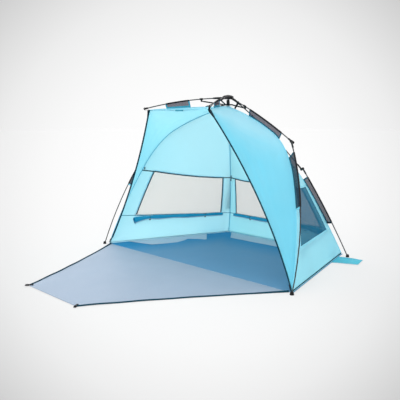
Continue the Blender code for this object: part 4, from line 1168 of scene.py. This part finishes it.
def pole_socket(name, arm, side):
    """Make the ribbed moulded sleeve on an arm's inner end."""
    start = arm.pivot + (arm.point(0.03) - arm.pivot).normalized() * 0.020
    run = (arm.point(0.10) - arm.point(0.03)).normalized()
    profile = [(0.0, 0.0078), (0.0015, 0.0096), (0.020, 0.0096)] + ribs(0.022, 0.006, 6, 0.0092, 0.0102, 0.003)
    profile += [(0.062, 0.0090), (0.082, 0.0070), (0.084, 0.0058)]
    shape = Shape()
    turned(shape, sided(start, side), sided(run, side), profile, 20)
    shape.make("socket_" + name + "_" + side, PLASTIC, "plastic", name + "_" + side, squashed=False)


for name, arm in (("arm_front", FRONT_ARM), ("arm_side", SIDE_ARM), ("arm_rear", REAR_ARM)):
    for side in SIDES:
        pole_socket(name, arm, side)


def hub_cap():
    """Make the hub's raised ring, its ribs and its centre button."""
    shape = Shape()
    turned(shape, HUB_TOP + UP * 0.0236, UP,
           [(0.0, 0.0225), (0.0022, 0.0222), (0.0030, 0.0210), (0.0030, 0.0150), (0.0022, 0.0140),
            (0.0022, 0.0085), (0.0042, 0.0078), (0.0054, 0.0055)], 40)
    for index in range(12):
        turn = math.tau * (index + 0.5) / 12
        out = Vector((math.cos(turn), math.sin(turn), 0.0))
        line = [HUB_TOP + out * reach + UP * height
                for reach, height in ((0.0300, 0.0240), (0.0415, 0.0187), (0.0510, 0.0144))]
        rod(shape, line, 0.0013, 8)
    turned(shape, HUB_TOP - UP * 0.002, UP,
           [(-0.0030, 0.0531), (-0.0022, 0.0540), (0.0022, 0.0540), (0.0030, 0.0531)], 48)
    shape.make("hub_cap_ribs", PLASTIC, "plastic", squashed=False)


def runner_collar():
    """Make the runner's tall collar, which slides on the strap, with its grip rings."""
    shape = Shape()
    profile = [(0.0, 0.0096), (0.0, 0.0148), (0.003, 0.0150), (0.004, 0.0132)]
    profile += ribs(0.009, 0.0055, 4, 0.0128, 0.0138, 0.0026)
    profile += [(0.0350, 0.0128), (0.0365, 0.0118), (0.0365, 0.0096)]
    turned(shape, UP * 1.4574, UP, profile, hollow=True)
    shape.make("runner_collar", PLASTIC, "plastic", "runner", squashed=False)


hub_cap()
runner_collar()


def ends_of(name):
    """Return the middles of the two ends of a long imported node."""
    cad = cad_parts[name]
    points = [cad.matrix_world @ vertex.co for vertex in cad.data.vertices]
    centre = sum(points, Vector()) / len(points)
    run = (max(points, key=lambda point: (point - centre).length) - centre).normalized()
    order = sorted(points, key=lambda point: point.dot(run))
    few = 12
    return sum(order[:few], Vector()) / few, sum(order[-few:], Vector()) / few


def strut_sheath(name, tangent):
    """Make the black sheath round the middle of a strut."""
    low, high = ends_of(name)
    run = (high - low).normalized()
    face = (tangent - run * tangent.dot(run)).normalized()
    points = [low + run * reach for reach in span(0.019, (high - low).length - 0.019, 8)]
    shape = Shape()
    band(shape, follow(points, face), 0.0120, 0.0064, 0.0032)
    shape.make(name + "_sheath", PLASTIC, "plastic", name, squashed=False)


def foot_treads(kind, foot, side):
    """Make the ribs round a rubber foot."""
    shape = Shape()
    for height, radius in ((0.0025, 0.0161), (0.0085, 0.0150), (0.0145, 0.0139), (0.0205, 0.0127)):
        outline = [(height + rise, radius + step)
                   for rise, step in ((-0.0014, -0.002), (-0.0014, 0.0004), (-0.0006, 0.0012),
                                      (0.0006, 0.0012), (0.0014, 0.0002), (0.0014, -0.002))]
        turned(shape, sided(Vector((foot.x, foot.y, 0.0)), side), UP, outline, 28, hollow=True)
    shape.make("foot_treads_" + kind + "_" + side, RUBBER, "rubber", "leg_" + kind + "_" + side, squashed=False)


for kind, arm in (("front", FRONT_ARM), ("side", SIDE_ARM)):
    for side in SIDES:
        strut_sheath("strut_" + kind + "_" + side, sided(arm.tangent, side))
for kind, foot in (("side", SIDE_FOOT), ("rear", REAR_FOOT)):
    for side in SIDES:
        foot_treads(kind, foot, side)


# Stitching and zip coils, made along the lines kept above

def bead_tree():
    """Return the node tree that sets beads along every line of a mesh."""
    tree = bpy.data.node_groups.new("beads along lines", "GeometryNodeTree")
    for label, kind in (("Geometry", "Geometry"), ("Pitch", "Float"), ("Length", "Float"),
                        ("Thickness", "Float"), ("Finish", "Material")):
        tree.interface.new_socket(label, in_out="INPUT", socket_type="NodeSocket" + kind)
    tree.interface.new_socket("Geometry", in_out="OUTPUT", socket_type="NodeSocketGeometry")
    given = node(tree, "NodeGroupInput").outputs
    curves = value_of(tree, "GeometryNodeMeshToCurve", {"Mesh": given["Geometry"]})
    spaced = value_of(tree, "GeometryNodeResampleCurve", {"Curve": curves, "Length": given["Pitch"]},
                      mode="LENGTH")
    bead = value_of(tree, "GeometryNodeMeshUVSphere", {"Segments": 5, "Rings": 3, "Radius": 0.5})
    size = value_of(tree, "CombineXYZ", {"X": given["Thickness"], "Y": given["Thickness"], "Z": given["Length"]})
    shaped = value_of(tree, "GeometryNodeTransform", {"Geometry": bead, "Scale": size})
    tangent = value_of(tree, "GeometryNodeInputTangent")
    turn = value_of(tree, "FunctionNodeAlignRotationToVector", {"Vector": tangent}, axis="Z")
    copies = value_of(tree, "GeometryNodeInstanceOnPoints", {"Points": spaced, "Instance": shaped, "Rotation": turn})
    real = value_of(tree, "GeometryNodeRealizeInstances", {"Geometry": copies})
    painted = value_of(tree, "GeometryNodeSetMaterial", {"Geometry": real, "Material": given["Finish"]})
    node(tree, "NodeGroupOutput", {"Geometry": painted})
    return tree


BEADS = bead_tree()


def beads(name, lines, body, material, slot, pitch, length, thickness):
    """Set beads along the lines as one plain mesh, tied to its body."""
    mesh = bpy.data.meshes.new(name)
    points = []
    edges = []
    for line in lines:
        base = len(points)
        points += [tuple(point) for point in line]
        edges += [(base + index, base + index + 1) for index in range(len(line) - 1)]
    mesh.from_pydata(points, edges, [])
    piece = bpy.data.objects.new(name, mesh)
    scene.collection.objects.link(piece)
    modifier = piece.modifiers.new("beads", "NODES")
    modifier.node_group = BEADS
    values = {"Pitch": pitch, "Length": length, "Thickness": thickness, "Finish": material}
    for item in BEADS.interface.items_tree:
        if item.in_out == "INPUT" and item.name in values:
            modifier[item.identifier] = values[item.name]
    graph = bpy.context.evaluated_depsgraph_get()
    made = bpy.data.meshes.new_from_object(piece.evaluated_get(graph))
    piece.modifiers.clear()
    piece.data = made
    made.name = name
    made.shade_smooth()
    place_piece(piece, body)


# Pitch, length and thickness of a stitch and of a zip's tooth
STITCH = (0.0075, 0.0052, 0.0008)
COIL = (0.0028, 0.0024, 0.0019)
beads("canopy_stitching", STITCHES[ROOT], ROOT, THREAD, "webbing", *STITCH)
beads("door_stitching", STITCHES["door"], "door", PALE_THREAD, "webbing", *STITCH)
beads("doorway_zip_coil", COILS[ROOT], ROOT, ZIP, "plastic", *COIL)
beads("door_zip_coil", COILS["door"], "door", ZIP, "plastic", *COIL)


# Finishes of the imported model's own pieces

for material, starts in ((PLASTIC, ("upper_hub", "runner", "bracket_", "elbow_", "end_cap_")),
                         (STEEL, ("strut_",)), (POLE, ("arm_", "leg_")), (RUBBER, ("foot_",)),
                         (CANOPY, ("apex_patch",)), (WEBBING, ("apex_strap",))):
    for name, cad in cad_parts.items():
        if name.startswith(starts):
            for part in cad.material_slots:
                part.material = material


# Studio: camera, backdrop and light

EYE = (3.788, -3.977, 1.3215)
TILT, HEADING = 0.1415, 0.8091
VIEW_AXIS = Vector((-0.7165, 0.6832, -0.1410)).normalized()
camera_data = bpy.data.cameras.new("camera")
camera_data.lens = 51.54
camera_data.sensor_width = 36.0
camera = bpy.data.objects.new("camera", camera_data)
scene.collection.objects.link(camera)
camera.location = EYE
camera.rotation_euler = (math.pi / 2 - TILT, 0.0, HEADING)
scene.camera = camera


def backdrop_tone(tree, direction):
    """Return a pale tone that falls off round the middle of the studio's backdrop: a painted pool of light round the
    camera's line of sight.
    """
    unit = value_of(tree, "VectorMath", {0: direction}, operation="NORMALIZE")
    toward = value_of(tree, "VectorMath", {0: unit, 1: tuple(VIEW_AXIS)}, "Value", operation="DOT_PRODUCT")
    ramp = node(tree, "ValToRGB", {"Fac": ranged(tree, toward, 0.88, 1.0)})
    steps = ramp.color_ramp.elements
    steps[0].color = colour(224, 224, 225)
    steps[1].color = colour(253, 253, 253)
    for position, level in ((0.14, 207), (0.50, 238), (0.72, 249), (0.86, 253)):
        steps.new(position).color = colour(level, level, level)
    return ramp.outputs[0]


def seen_directly(tree):
    """Return 1 for what the camera sees, also in a reflection or through netting, and 0 for light."""
    path = node(tree, "LightPath").outputs
    shown = math_of(tree, "MAXIMUM", path["Is Camera Ray"], path["Is Glossy Ray"])
    return math_of(tree, "MAXIMUM", shown, path["Is Transmission Ray"])


def light_world(strength):
    """Light the scene evenly, with the pale backdrop where it is seen."""
    world = bpy.data.worlds.new("studio")
    scene.world = world
    world.use_nodes = True
    tree = world.node_tree
    plain = tree.nodes["Background"]
    plain.inputs["Color"].default_value = (1.0, 1.0, 1.0, 1.0)
    plain.inputs["Strength"].default_value = strength
    direction = value_of(tree, "TexCoord", output="Generated")
    seen = value_of(tree, "Background", {"Color": backdrop_tone(tree, direction), "Strength": 1.0})
    shaded(tree, plain, seen, seen_directly(tree))


def studio_floor():
    """Make the pale floor, which keeps the tent's soft shadow."""
    shape = Shape()
    shape.grid([[Vector((x, y, -0.0005)) for x in (60.0, 0.0, -60.0)] for y in (60.0, 0.0, -60.0)])
    material, tree, shader = blank("studio floor", Roughness=0.9, Specular_IOR_Level=0.0)
    place = value_of(tree, "NewGeometry", output="Position")
    tone = backdrop_tone(tree, value_of(tree, "VectorMath", {0: place, 1: EYE}, operation="SUBTRACT"))
    shown = seen_directly(tree)
    dim = ranged(tree, shown, 0.0, 1.0, 0.20, 0.35)
    tree.links.new(two_tone(tree, dim, tone, (0.0, 0.0, 0.0, 1.0)), shader.inputs["Base Color"])
    glow = value_of(tree, "Emission", {"Color": tone, "Strength": 1.0})
    shaded(tree, shader, glow, math_of(tree, "MULTIPLY", shown, 0.55))
    shape.build("studio_floor", material, closed=False)


light_world(0.85)
studio_floor()
for name, strength, direction, angle in (("top light", 1.0, (0.0, 0.0, -1.0), 80.0),
                                         ("front light", 0.9, (-0.72, 0.46, -0.52), 60.0),
                                         ("fill light", 0.8, (-0.10, 0.93, -0.34), 60.0),
                                         ("back light", 1.1, (0.80, -0.35, -0.50), 60.0)):
    data = bpy.data.lights.new(name, "SUN")
    data.energy = strength
    data.angle = math.radians(angle)
    lamp = bpy.data.objects.new(name, data)
    scene.collection.objects.link(lamp)
    lamp.rotation_euler = Vector(direction).to_track_quat("-Z", "Y").to_euler()
